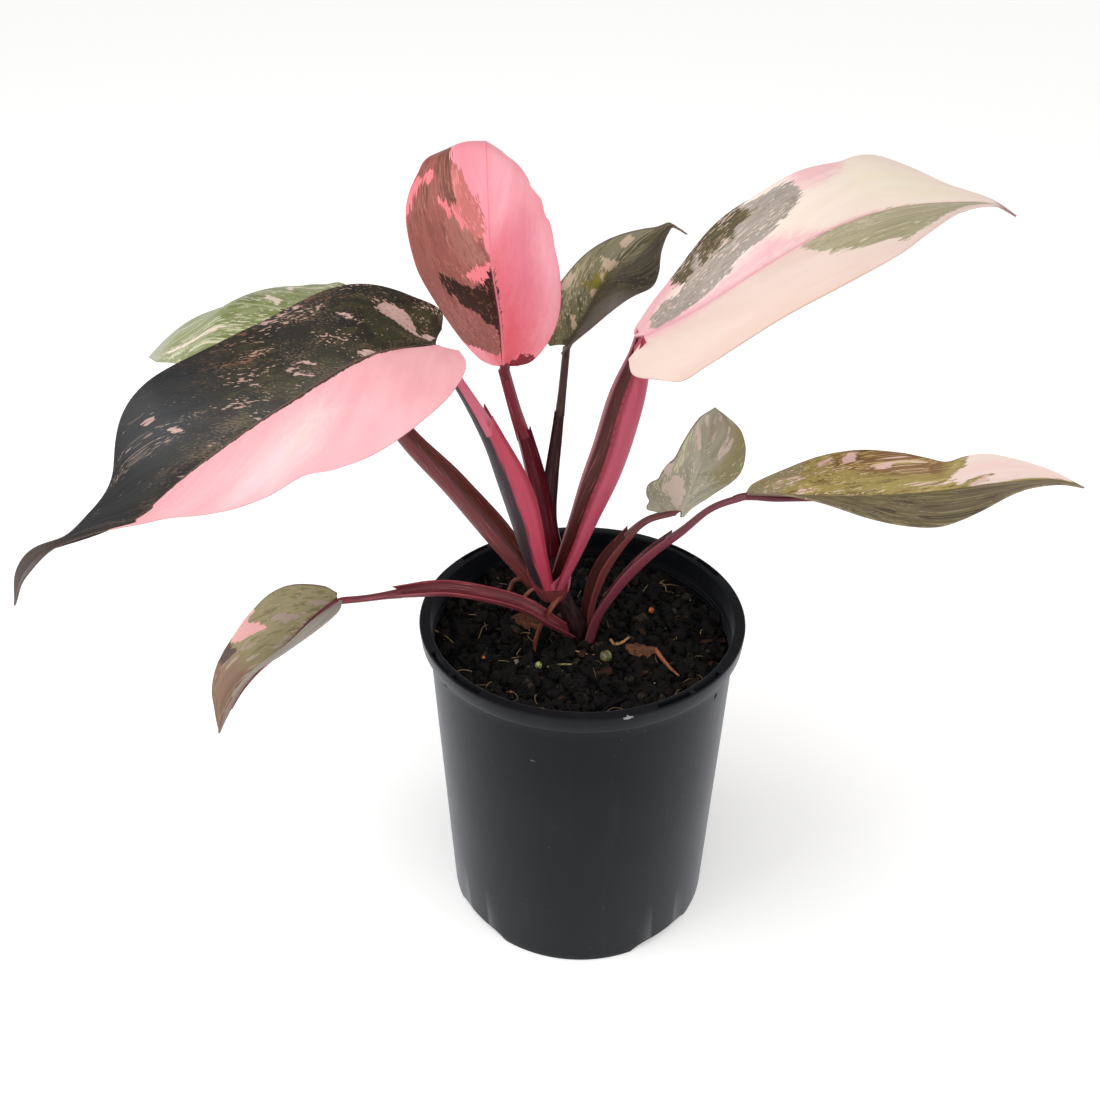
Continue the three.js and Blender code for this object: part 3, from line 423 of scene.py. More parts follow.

# %% [markdown]
# ## Where the colours lie
# Variegation is a matter of cell lines: whole sectors of a leaf, cut off sharply along its veins,
# have no green, and show pink or cream. So each sector is drawn as an outline on the flat leaf.
# The first number runs from the left margin (-1) over the midrib (0) to the right margin (1), and
# the second from the base (0) to the tip (1). The material later frays its edge along the veins.

# %% Colour sectors
# Not every sector is variegation: some paint sheen, highlight or shade, as noted at each.
SECTORS = {
    "a": dict(
        moss=[[(0.18, 0.41), (0.04, 0.34), (0.03, 0.25), (0.06, 0.16), (0.22, 0.05), (0.53, 0.025),
               (0.84, 0.06), (0.82, 0.13), (0.33, 0.18), (0.23, 0.26), (0.28, 0.34)]],
        copper=[[(0.5, 0.3), (0.75, 0.36), (1.1, 0.34), (1.1, 0.56), (0.9, 0.5), (0.62, 0.4)],
                [(0.8, 0.2), (1.1, 0.22), (1.1, 0.3), (0.85, 0.28)]],
        flush=[[(0.65, 0.16), (0.71, 0.152), (0.72, 0.135), (0.66, 0.107), (0.54, 0.085), (0.33, 0.062),
                (0.22, 0.052), (0.33, 0.085), (0.47, 0.117), (0.55, 0.142)],
               [(0.64, 0.223), (0.62, 0.21), (0.54, 0.193), (0.49, 0.185), (0.53, 0.2)],
               [(0.08, 0.19), (0.08, 0.172), (0.04, 0.15), (-0.04, 0.15), (0.01, 0.175)],
               [(1.0, 0.298), (0.98, 0.28), (0.88, 0.265), (0.91, 0.285)],
               [(0.97, 0.318), (0.97, 0.303), (0.89, 0.292), (0.89, 0.305)],
               [(0.31, 0.33), (0.29, 0.313), (0.23, 0.303), (0.26, 0.325)],
               [(0.21, 0.32), (0.15, 0.293), (0.08, 0.276), (0.11, 0.297)],
               [(0.31, 0.308), (0.25, 0.285), (0.17, 0.27), (0.23, 0.294)],
               [(0.4, 0.403), (0.34, 0.388), (0.28, 0.38), (0.33, 0.397)],
               [(1.0, 0.345), (0.93, 0.316), (0.91, 0.335)],
               [(0.28, 0.055), (0.35, 0.037), (0.33, 0.007), (0.14, 0.022)],
               [(0.75, 0.572), (0.69, 0.557), (0.63, 0.552), (0.68, 0.572)],
               [(0.47, 0.55), (0.41, 0.535), (0.35, 0.532), (0.41, 0.548)]],
        tail=[[(-1.3, 0.84), (1.3, 0.84), (1.3, 1.3), (-1.3, 1.3)]],
        # Over the dark half's upper middle: its own near-black tone, with a bluish tint that is a painted
        # sheen.
        calm_sheen=[[(0.05, 0.66), (0.3, 0.5), (0.7, 0.44), (1.4, 0.4), (1.4, 0.86), (-0.6, 0.86)]],
        # The pale sector on the pink half is a painted sheen, a pale lilac reflection.
        pale=[[(-0.9, 0.54), (-0.6, 0.5), (-0.49, 0.45), (-0.39, 0.4), (-0.26, 0.34), (-0.23, 0.3),
               (-0.38, 0.3), (-0.59, 0.35), (-0.8, 0.4), (-0.95, 0.46)]],
        pink=[[(-1.4, -0.3), (0.05, -0.3), (0.03, 0.04), (-0.02, 0.1), (-0.05, 0.2), (-0.04, 0.35),
               (-0.03, 0.45), (-0.04, 0.55), (-0.02, 0.62), (-0.06, 0.65), (-0.2, 0.655), (-0.35, 0.69),
               (-0.7, 0.695), (-0.9, 0.74), (-1.4, 0.76)]]),
    "b": dict(
        dust=[[(-1.3, 0.9), (1.3, 0.84), (1.3, 1.3), (-1.3, 1.3)]],
        cream=[[(-0.72, 0.82), (-0.62, 0.7), (-0.56, 0.5), (-0.42, 0.45), (-0.5, 0.55), (-0.55, 0.72),
                (-0.62, 0.86)],
               [(0.05, 0.31), (0.2, 0.4), (0.32, 0.42), (0.2, 0.32)],
               [(0.5, 0.34), (0.62, 0.4), (0.82, 0.42), (0.7, 0.37)]]),
    "c": dict(
        blush=[[(-0.6, -0.3), (0.5, -0.3), (0.7, 0.1), (0.45, 0.24), (0.12, 0.42), (-0.02, 0.42)]],
        # The bright patches on the pink face are painted highlights.
        bright_highlight=[[(0.62, 0.12), (0.9, 0.16), (0.95, 0.34), (0.85, 0.5), (0.7, 0.44), (0.66, 0.28)],
                [(0.12, 0.52), (0.3, 0.56), (0.5, 0.66), (0.4, 0.78), (0.1, 0.74)]],
        mauve=[[(-1.4, 0.12), (-0.7, 0.09), (-0.2, 0.05), (-0.02, 0.08), (0.0, 0.4), (-0.1, 0.47),
                (-0.25, 0.56), (-0.42, 0.68), (-0.55, 0.72), (-0.62, 0.82), (-0.8, 0.9), (-1.4, 0.95)]],
        crest=[[(-0.7, 0.86), (0.2, 0.8), (1.3, 0.9), (1.3, 1.3), (-1.3, 1.3)]],
        # The dusk patch in the middle of the right half is painted shade.
        dusk_shade=[[(0.28, 0.47), (0.47, 0.54), (0.6, 0.5), (0.6, 0.375), (0.56, 0.22), (0.36, 0.2),
               (0.22, 0.29), (0.33, 0.38)]],
        dusty=[[(-0.49, 0.7), (-0.35, 0.662), (-0.25, 0.623), (-0.17, 0.593), (-0.09, 0.562),
                (-0.07, 0.522), (-0.06, 0.487), (-0.09, 0.47), (-0.16, 0.46), (-0.3, 0.48),
                (-0.41, 0.54), (-0.41, 0.573), (-0.44, 0.63)]],
        tan=[[(-0.45, 0.54), (-0.26, 0.49), (-0.15, 0.45), (-0.07, 0.405), (-0.2, 0.39), (-0.34, 0.4),
              (-0.45, 0.44), (-0.52, 0.5)]],
        olive=[[(-0.75, 0.797), (-0.83, 0.86), (-0.55, 0.73), (-0.51, 0.66), (-0.43, 0.613),
                (-0.38, 0.573), (-0.42, 0.552), (-0.51, 0.565), (-0.55, 0.59), (-0.61, 0.63),
                (-0.69, 0.67), (-0.76, 0.71)],
               [(-0.86, 0.625), (-0.82, 0.645), (-0.74, 0.605), (-0.75, 0.54), (-0.78, 0.5),
                (-0.82, 0.52), (-0.82, 0.58)]],
        rose=[[(-0.38, 0.36), (-0.2, 0.385), (-0.02, 0.39), (-0.02, 0.345), (-0.15, 0.325), (-0.3, 0.345)],
              [(-0.83, 0.677), (-0.77, 0.69), (-0.7, 0.65), (-0.76, 0.635)],
              [(-1.05, 0.5), (-0.93, 0.54), (-0.9, 0.6), (-0.84, 0.65), (-0.95, 0.68), (-1.05, 0.6)],
              [(-0.6, 0.585), (-0.5, 0.567), (-0.38, 0.552), (-0.29, 0.522), (-0.23, 0.495),
               (-0.3, 0.5), (-0.45, 0.528), (-0.54, 0.555)]],
        umber=[[(-0.73, 0.352), (-0.64, 0.355), (-0.53, 0.343), (-0.43, 0.328), (-0.36, 0.33),
                (-0.3, 0.32), (-0.2, 0.323), (-0.12, 0.305), (-0.18, 0.345), (-0.06, 0.35),
                (-0.02, 0.378), (0.0, 0.34), (0.0, 0.142), (-0.07, 0.163), (-0.2, 0.188),
                (-0.33, 0.22), (-0.47, 0.247), (-0.57, 0.268), (-0.65, 0.295), (-0.7, 0.325)]],
        keel=[[(-0.025, 0.37), (0.004, 0.37), (0.01, 0.1), (0.01, -0.1), (-0.05, -0.1), (-0.045, 0.1)]],
        spot=[[(0.25, -0.2), (0.3, 0.035), (0.45, 0.03), (0.55, 0.07), (0.75, 0.06), (0.9, 0.06),
               (1.4, 0.1), (1.4, -0.2)]]),
    "d": dict(
        # The haze on the upper left half is a painted sheen.
        haze_sheen=[[(-0.5, 0.52), (-0.78, 0.57), (-1.2, 0.64), (-1.2, 1.2), (0.0, 1.0), (-0.05, 0.6)]],
        # The grey band low on the right half is a painted sheen.
        pewter_sheen=[[(1.2, 0.09), (0.3, 0.16), (0.4, 0.3), (0.7, 0.36), (1.2, 0.46)]],
        glow=[[(-0.55, 0.38), (-0.2, 0.49), (0.0, 0.5), (0.02, 0.37), (-0.2, 0.36)]],
        peach=[[(-0.68, 0.505), (-0.4, 0.525), (-0.3, 0.55), (-0.12, 0.555), (-0.02, 0.5), (-0.3, 0.485),
                (-0.5, 0.5)],
               [(-0.32, 0.48), (-0.1, 0.455), (0.02, 0.43), (-0.12, 0.44)],
               [(-0.3, 0.36), (-0.1, 0.385), (0.0, 0.385), (0.0, 0.34), (-0.12, 0.35)],
               [(-0.92, 0.33), (-0.92, 0.39), (-0.8, 0.4), (-0.76, 0.35), (-0.82, 0.32)],
               [(-0.92, 0.66), (-0.62, 0.68), (-0.48, 0.63), (-0.6, 0.605), (-0.8, 0.63)],
               [(-0.45, 0.215), (-0.3, 0.21), (-0.1, 0.16), (-0.1, 0.11), (-0.22, 0.14)]],
        shade=[[(0.0, -0.2), (0.0, 0.4), (0.1, 0.55), (0.3, 0.8), (0.2, 1.2), (1.3, 1.2), (1.3, -0.2)]],
        ink=[[(0.4, 0.42), (0.9, 0.5), (0.97, 0.62), (0.9, 0.8), (0.55, 0.8), (0.38, 0.6)]]),
    "e": dict(
        lower=[[(0.0, -0.2), (0.0, 1.2), (1.3, 1.2), (1.3, -0.2)]],
        lemon=[[(-0.72, 0.62), (-0.68, 0.75), (-0.62, 0.88), (-0.2, 0.8), (-0.28, 0.68), (-0.47, 0.63)]],
        warm=[[(1.2, 0.1), (0.85, 0.15), (0.78, 0.24), (0.82, 0.4), (0.9, 0.54), (1.2, 0.6)]],
        blush=[[(-1.4, 0.5), (-0.7, 0.5), (-0.74, 0.56), (-0.86, 0.6), (-1.4, 0.62)],
               [(-0.32, 0.42), (-0.04, 0.52), (-0.01, 0.2), (-0.16, 0.27)],
               [(-1.4, -0.2), (0.0, -0.2), (0.0, 0.3), (-0.5, 0.06), (-0.66, 0.1), (-0.7, 0.2),
                (-1.4, 0.22)],
               [(0.0, -0.2), (0.25, -0.2), (0.2, 0.06), (0.05, 0.22)]],
        band=[[(-0.1, -0.1), (-0.06, 0.15), (-0.035, 0.4), (-0.01, 0.66), (0.01, 0.66), (0.03, 0.4),
               (0.05, 0.15), (0.08, -0.1)]],
        sage=[[(-0.88, 0.5), (-0.6, 0.515), (-0.46, 0.47), (-0.36, 0.41), (-0.29, 0.34), (-0.14, 0.25),
               (-0.08, 0.16), (-0.03, 0.06), (-0.3, 0.04), (-0.66, 0.075), (-0.62, 0.13), (-0.5, 0.16),
               (-0.6, 0.2), (-1.0, 0.24), (-1.0, 0.4)]],
        bark=[[(-1.4, 0.165), (-0.8, 0.165), (-0.6, 0.185), (-0.6, 0.22), (-0.9, 0.24), (-1.4, 0.23)],
              [(-1.4, 0.27), (-0.9, 0.25), (-0.62, 0.25), (-0.6, 0.33), (-0.72, 0.37), (-0.85, 0.42),
               (-0.95, 0.36), (-1.4, 0.36)]],
        olive=[[(0.02, 0.47), (0.3, 0.495), (0.52, 0.52), (0.66, 0.58), (0.74, 0.62), (0.86, 0.64),
                (0.92, 0.7), (0.84, 0.8), (0.72, 0.9), (0.3, 0.97), (0.01, 0.97)]],
        tail=[[(-1.4, 0.96), (1.4, 0.93), (1.4, 1.3), (-1.4, 1.3)]]),
    "f": dict(
        umber=[[(-1.4, 0.3), (-0.55, 0.3), (-0.42, 0.5), (-0.55, 0.62), (-1.4, 0.62)]],
        green=[[(-1.4, -0.3), (0.0, -0.3), (0.0, 0.12), (-0.5, 0.2), (-1.4, 0.24)]],
        pink=[[(-0.57, 0.415), (-0.7, 0.443), (-0.76, 0.477), (-0.62, 0.477), (-0.55, 0.438)],
              [(-0.96, 0.35), (-0.92, 0.375), (-0.76, 0.372), (-0.7, 0.34), (-0.82, 0.33)],
              [(-0.17, 0.718), (-0.28, 0.743), (-0.2, 0.755), (-0.05, 0.733), (-0.02, 0.69)],
              [(-0.88, 0.3), (-0.78, 0.3), (-0.66, 0.25), (-0.8, 0.265)]],
        cream=[[(-1.4, 0.685), (-0.72, 0.685), (-0.5, 0.655), (-0.3, 0.635), (-0.18, 0.6), (-0.27, 0.655),
                (-0.12, 0.67), (-0.3, 0.75), (-0.12, 0.74), (0.02, 0.68), (0.02, 0.74), (-0.08, 0.8),
                (-0.25, 0.88), (-0.5, 0.95), (-1.4, 0.99)]],
        shade=[[(0.0, -0.3), (0.0, 0.5), (0.06, 0.68), (0.0, 0.8), (-0.14, 0.88), (-0.4, 0.96),
                (-1.4, 1.0), (-1.4, 1.3), (1.4, 1.3), (1.4, -0.3)]]),
    "g": dict(
        gold=[[(0.35, 0.45), (0.6, 0.36), (1.4, 0.3), (1.4, 0.85), (0.75, 0.8), (0.5, 0.62)]],
        buff=[[(-0.7, 0.39), (-0.55, 0.39), (-0.4, 0.37), (-0.26, 0.31), (-0.1, 0.23), (-0.1, 0.1),
               (-0.16, 0.02), (-0.28, 0.07), (-0.45, 0.16), (-0.62, 0.25), (-0.7, 0.31)],
              [(-0.93, 0.79), (-0.75, 0.76), (-0.5, 0.7), (-0.2, 0.63), (-0.35, 0.6), (-0.6, 0.68),
               (-0.92, 0.74)],
              [(-0.82, 0.88), (-0.6, 0.89), (-0.4, 0.85), (-0.28, 0.81), (-0.45, 0.81), (-0.7, 0.85)],
              [(0.28, 0.57), (0.38, 0.67), (0.6, 0.76), (0.7, 0.74), (0.55, 0.66), (0.4, 0.59)],
              [(0.08, 0.72), (0.12, 0.78), (0.2, 0.82), (0.16, 0.75)],
              [(0.06, 0.87), (0.16, 0.91), (0.22, 0.905), (0.14, 0.87)],
              [(0.38, 0.88), (0.6, 0.92), (0.86, 0.93), (0.6, 0.89)],
              [(0.5, 0.77), (0.7, 0.82), (0.97, 0.88), (0.8, 0.83)],
              [(-1.3, 0.49), (-0.9, 0.48), (-0.72, 0.4), (-0.85, 0.4), (-1.3, 0.45)]]),
    "h": dict(
        brown=[[(-1.4, 0.62), (0.0, 0.6), (0.3, 0.62), (1.4, 0.66), (1.4, 1.3), (-1.4, 1.3)]],
        umber=[[(0.66, 0.6), (0.78, 0.66), (0.97, 0.7), (1.4, 0.7), (1.4, 0.6), (0.9, 0.6)]],
        buff=[[(0.25, 0.25), (0.36, 0.33), (0.5, 0.35), (0.6, 0.36), (0.55, 0.31), (0.4, 0.26), (0.3, 0.22)],
              [(0.14, 0.06), (0.25, 0.13), (0.4, 0.165), (0.5, 0.165), (0.4, 0.1), (0.25, 0.06)],
              [(0.6, 0.62), (0.7, 0.68), (0.8, 0.71), (0.7, 0.64)],
              [(0.5, 0.52), (0.6, 0.59), (0.72, 0.61), (0.6, 0.53)],
              [(0.24, 0.54), (0.3, 0.59), (0.42, 0.62), (0.34, 0.56)],
              [(0.07, 0.35), (0.09, 0.48), (0.15, 0.5), (0.14, 0.38)]],
        pink=[[(0.45, 0.415), (0.6, 0.5), (0.78, 0.56), (0.93, 0.59), (1.4, 0.54), (1.4, 0.42),
               (0.96, 0.43), (0.94, 0.48), (0.84, 0.485), (0.76, 0.465), (0.68, 0.445), (0.58, 0.435)]],
        # The grey laid over the lower left half is a painted sheen, a reflection of the bright left side.
        frost_sheen=[[(-1.4, -0.3), (-0.02, -0.3), (-0.02, 0.66), (-1.4, 0.66)]]),
}


def depth_inside(points, outline):
    """How far each point lies inside an outline, or outside it where negative."""
    a = np.array(outline, float)
    b = np.roll(a, -1, axis=0)
    span = b - a
    offset = points[:, None] - a[None]
    t = np.clip((offset * span).sum(-1) / (span * span).sum(-1), 0, 1)
    distance = np.linalg.norm(offset - t[..., None] * span, axis=-1).min(1)
    above = (a[None, :, 1] > points[:, None, 1]) != (b[None, :, 1] > points[:, None, 1])
    rise = np.where(span[:, 1] == 0, 1.0, span[:, 1])
    crossing = a[None, :, 0] + span[None, :, 0] * (points[:, None, 1] - a[None, :, 1]) / rise
    inside = (above & (points[:, None, 0] < crossing)).sum(1) % 2 == 1
    return np.where(inside, distance, -distance)


# %% [markdown]
# ## Shader groups
# Several finishes share an effect, so each effect is a node group with named inputs. *Vein streaks*
# draws marks that run along the veins, and *Frayed sector* turns a sector's depth into a mask with
# an edge that breaks up along them. *Leaf relief* is the fine ribbing of a leaf, *Fibre streaks*
# run down a petiole, and *Grime spots* are round flecks on plastic and mix.

# %% Node helpers
def rgb(red, green, blue):
    """A colour as it looks on a screen, turned into the linear colour a shader needs."""
    def linear(c):
        c = c / 255
        return c / 12.92 if c <= 0.04045 else ((c + 0.055) / 1.055) ** 2.4
    return (linear(red), linear(green), linear(blue), 1.0)


def add(tree, kind, sockets=None, **settings):
    """A node with its settings, its inputs linked to sockets or set to values."""
    node = tree.nodes.new("ShaderNode" + kind)
    for key, value in settings.items():
        setattr(node, key, value)
    for key, value in (sockets or {}).items():
        if isinstance(value, bpy.types.NodeSocket):
            tree.links.new(value, node.inputs[key])
        else:
            node.inputs[key].default_value = value
    return node


def math_node(tree, operation, *values):
    return add(tree, "Math", dict(enumerate(values)), operation=operation).outputs[0]


def plus(tree, a, b):
    return math_node(tree, "ADD", a, b)


def minus(tree, a, b):
    return math_node(tree, "SUBTRACT", a, b)


def times(tree, a, b):
    return math_node(tree, "MULTIPLY", a, b)


def varied(tree, base, value, share):
    """A base with a share of a value added to it."""
    return plus(tree, base, times(tree, value, share))


def blend_colour(tree, mask, under, over):
    node = add(tree, "Mix", {0: mask, 6: under, 7: over}, data_type="RGBA")
    return node.outputs[2]


def paint(tree, colour, over, mask, strength=1.0):
    """A colour with another painted over it where the mask lies."""
    if strength != 1.0:
        mask = times(tree, mask, strength)
    return blend_colour(tree, mask, colour, over)


def smooth_step(tree, value, low, high):
    node = add(tree, "MapRange", {"Value": value, "From Min": low, "From Max": high},
               interpolation_type="SMOOTHSTEP")
    return node.outputs["Result"]


def new_group(name, inputs, outputs):
    """An empty node group with named inputs and outputs."""
    group = bpy.data.node_groups.new(name, "ShaderNodeTree")
    for label, kind, default in inputs:
        socket = group.interface.new_socket(label, in_out="INPUT", socket_type="NodeSocket" + kind)
        if default is not None:
            socket.default_value = default
    for label, kind in outputs:
        group.interface.new_socket(label, in_out="OUTPUT", socket_type="NodeSocket" + kind)
    start, end = group.nodes.new("NodeGroupInput"), group.nodes.new("NodeGroupOutput")
    return group, start.outputs, end.inputs


def use(tree, group, sockets):
    """The outputs of a node group, with its inputs linked or set."""
    return add(tree, "Group", sockets, node_tree=group).outputs


def cloud_noise(tree, vector, scale, detail):
    """Noise that is the same in all directions."""
    sockets = {"Vector": vector, "Scale": scale, "Detail": detail}
    return add(tree, "TexNoise", sockets).outputs["Fac"]


def grain_noise(tree, vector, length, width, seed, detail=3.0):
    """Noise drawn out along the first axis of a vector given in millimetres."""
    short = math_node(tree, "DIVIDE", 1.0, length)
    tall = math_node(tree, "DIVIDE", 1.0, width)
    scale = add(tree, "CombineXYZ", {"X": short, "Y": tall, "Z": 1.0}).outputs[0]
    scaled = add(tree, "VectorMath", {0: vector, 1: scale}, operation="MULTIPLY").outputs[0]
    shift = add(tree, "CombineXYZ", {"X": seed, "Y": 0.0, "Z": seed}).outputs[0]
    moved = add(tree, "VectorMath", {0: scaled, 1: shift}, operation="ADD").outputs[0]
    return add(tree, "TexNoise", {"Vector": moved, "Scale": 1.0, "Detail": detail,
                                  "Roughness": 0.55}).outputs["Fac"]


# %% Vein streaks
STREAKS, into, out = new_group(
    "Vein streaks",
    [("Vein", "Vector", None), ("Length", "Float", 8.0), ("Width", "Float", 1.5),
     ("Level", "Float", 0.62), ("Softness", "Float", 0.02), ("Crowding", "Float", 0.0),
     ("Seed", "Float", 0.0)],
    [("Mask", "Float")])
grain = grain_noise(STREAKS, into["Vein"], into["Length"], into["Width"], into["Seed"], 2.0)
crowd = grain_noise(STREAKS, into["Vein"], 16.0, 9.0, into["Seed"], 1.0)
thinned = times(STREAKS, minus(STREAKS, 0.5, crowd), into["Crowding"])
level = plus(STREAKS, into["Level"], thinned)
low = minus(STREAKS, level, into["Softness"])
high = plus(STREAKS, level, into["Softness"])
STREAKS.links.new(smooth_step(STREAKS, grain, low, high), out["Mask"])

# %% Frayed sector
# Each tear is (length, width) in millimetres. Their sum swings about its mean.
COARSE_TEAR, FINE_TEAR, FINE_SHARE = (5.5, 2.2), (2.0, 0.7), 0.9
TEAR_MEAN, TEAR_SWING = 0.95, 3.4
FRAYED, into, out = new_group(
    "Frayed sector",
    [("Depth", "Float", 0.0), ("Vein", "Vector", None), ("Fray", "Float", 2.0),
     ("Softness", "Float", 0.25), ("Seed", "Float", 0.0)],
    [("Mask", "Float")])
coarse = grain_noise(FRAYED, into["Vein"], *COARSE_TEAR, into["Seed"], 2.0)
fine = grain_noise(FRAYED, into["Vein"], *FINE_TEAR, into["Seed"], 2.0)
both = varied(FRAYED, coarse, fine, FINE_SHARE)
swing = times(FRAYED, minus(FRAYED, both, TEAR_MEAN), TEAR_SWING)
ragged = varied(FRAYED, into["Depth"], swing, into["Fray"])
below = times(FRAYED, into["Softness"], -1.0)
FRAYED.links.new(smooth_step(FRAYED, ragged, below, into["Softness"]), out["Mask"])

# %% Leaf relief
ROW_BEND, ROW_ROUNDNESS = 9.0, 0.6
FINE_RELIEF, SKIN_RELIEF = 0.35, 0.3
RELIEF, into, out = new_group(
    "Leaf relief",
    [("Vein", "Vector", None), ("Spacing", "Float", 9.0)],
    [("Height", "Float")])
parts = add(RELIEF, "SeparateXYZ", {0: into["Vein"]}).outputs
bend = grain_noise(RELIEF, into["Vein"], 40.0, 7.0, 3.0)
row = varied(RELIEF, parts["Y"], bend, ROW_BEND)
turn = math_node(RELIEF, "DIVIDE", times(RELIEF, row, math.pi), into["Spacing"])
arch = math_node(RELIEF, "ABSOLUTE", math_node(RELIEF, "SINE", turn))
wide = math_node(RELIEF, "POWER", arch, ROW_ROUNDNESS)
fine = grain_noise(RELIEF, into["Vein"], 12.0, 0.8, 5.0, 2.0)
skin = grain_noise(RELIEF, into["Vein"], 1.2, 0.8, 8.0)
height = varied(RELIEF, varied(RELIEF, wide, fine, FINE_RELIEF), skin, SKIN_RELIEF)
RELIEF.links.new(height, out["Height"])

# %% Fibre streaks and grime spots
FIBRES, into, out = new_group(
    "Fibre streaks",
    [("Fibre", "Vector", None), ("Length", "Float", 30.0), ("Width", "Float", 0.8),
     ("Seed", "Float", 0.0)],
    [("Value", "Float")])
parts = add(FIBRES, "SeparateXYZ", {0: into["Fibre"]}).outputs
swapped = add(FIBRES, "CombineXYZ",
              {"X": parts["Y"], "Y": parts["X"], "Z": parts["Z"]}).outputs[0]
lines = grain_noise(FIBRES, swapped, into["Length"], into["Width"], into["Seed"])
FIBRES.links.new(lines, out["Value"])

SPOTS, into, out = new_group(
    "Grime spots",
    [("Vector", "Vector", None), ("Scale", "Float", 90.0), ("Size", "Float", 0.1),
     ("Share", "Float", 0.2)],
    [("Mask", "Float")])
cells = add(SPOTS, "TexVoronoi", {"Vector": into["Vector"], "Scale": into["Scale"]}).outputs
edge = times(SPOTS, into["Size"], 0.7)
dots = smooth_step(SPOTS, cells["Distance"], into["Size"], edge)
pick = add(SPOTS, "SeparateColor", {0: cells["Color"]}).outputs[0]
chosen = math_node(SPOTS, "LESS_THAN", pick, into["Share"])
SPOTS.links.new(times(SPOTS, dots, chosen), out["Mask"])


def new_material(name, roughness, coat=0.0, coat_roughness=0.2, specular=0.5):
    """A material with its Principled shader, whose even values are set on the shader itself."""
    material = bpy.data.materials.new(name)
    material.use_nodes = True
    tree = material.node_tree
    shader = tree.nodes["Principled BSDF"]
    shader.inputs["Roughness"].default_value = roughness
    shader.inputs["Coat Weight"].default_value = coat
    shader.inputs["Coat Roughness"].default_value = coat_roughness
    shader.inputs["Specular IOR Level"].default_value = specular
    return material, tree, shader


def attribute(tree, name, output="Fac"):
    """What a piece holds under a name, as a number or as a Vector."""
    return add(tree, "Attribute", attribute_name=name).outputs[output]


def fibre_lines(tree, fibre, length, width, seed):
    sockets = {"Fibre": fibre, "Length": length, "Width": width, "Seed": seed}
    return use(tree, FIBRES, sockets)["Value"]


def surface(tree, shader, colour, roughness):
    """Links a colour and a roughness to the shader."""
    tree.links.new(colour, shader.inputs["Base Color"])
    tree.links.new(roughness, shader.inputs["Roughness"])


def bump(tree, shader, height, distance, strength=1.0):
    node = add(tree, "Bump", {"Height": height, "Distance": distance * MM, "Strength": strength})
    tree.links.new(node.outputs["Normal"], shader.inputs["Normal"])


# %% [markdown]
# ## Leaf finishes
# A leaf's colour is built up like paint: a mottled ground, then streaks and sectors over it, then
# the midrib and a thin margin line. Pink and cream sectors are a little paler along some veins and
# deeper along others, and the underside is duller and browner than the face.

# %% Habits of each leaf
# How far the veins sweep forward (at the base, and more per length), half the width of the midrib's
# colour at the base, how much the margin waves, where the rib below has sunk away, and the gloss.
HABITS = {
    "a": dict(sweep=(0.17, 0.17), rib=0.6, wave=0.12, sunk_by=0.03, gloss=0.26),
    "b": dict(sweep=(0.4, 0.8), rib=0.8, wave=0.3, sunk_by=0.02, gloss=0.24),
    "c": dict(sweep=(0.1, 0.7), rib=0.15, wave=0.0, sunk_by=0.02, gloss=0.14),
    "d": dict(sweep=(0.22, 0.2), rib=0.8, wave=0.2, sunk_by=0.04, gloss=0.24),
    "e": dict(sweep=(0.3, 0.4), rib=0.5, wave=0.1, sunk_by=0.02, gloss=0.2),
    "f": dict(sweep=(0.3, 0.3), rib=0.4, wave=0.2, sunk_by=0.1, gloss=0.26),
    "g": dict(sweep=(0.4, 0.1), rib=0.6, wave=0.3, sunk_by=0.02, gloss=0.26),
    "h": dict(sweep=(0.3, 0.4), rib=1.7, wave=0.1, sunk_by=0.5, gloss=0.24),
}
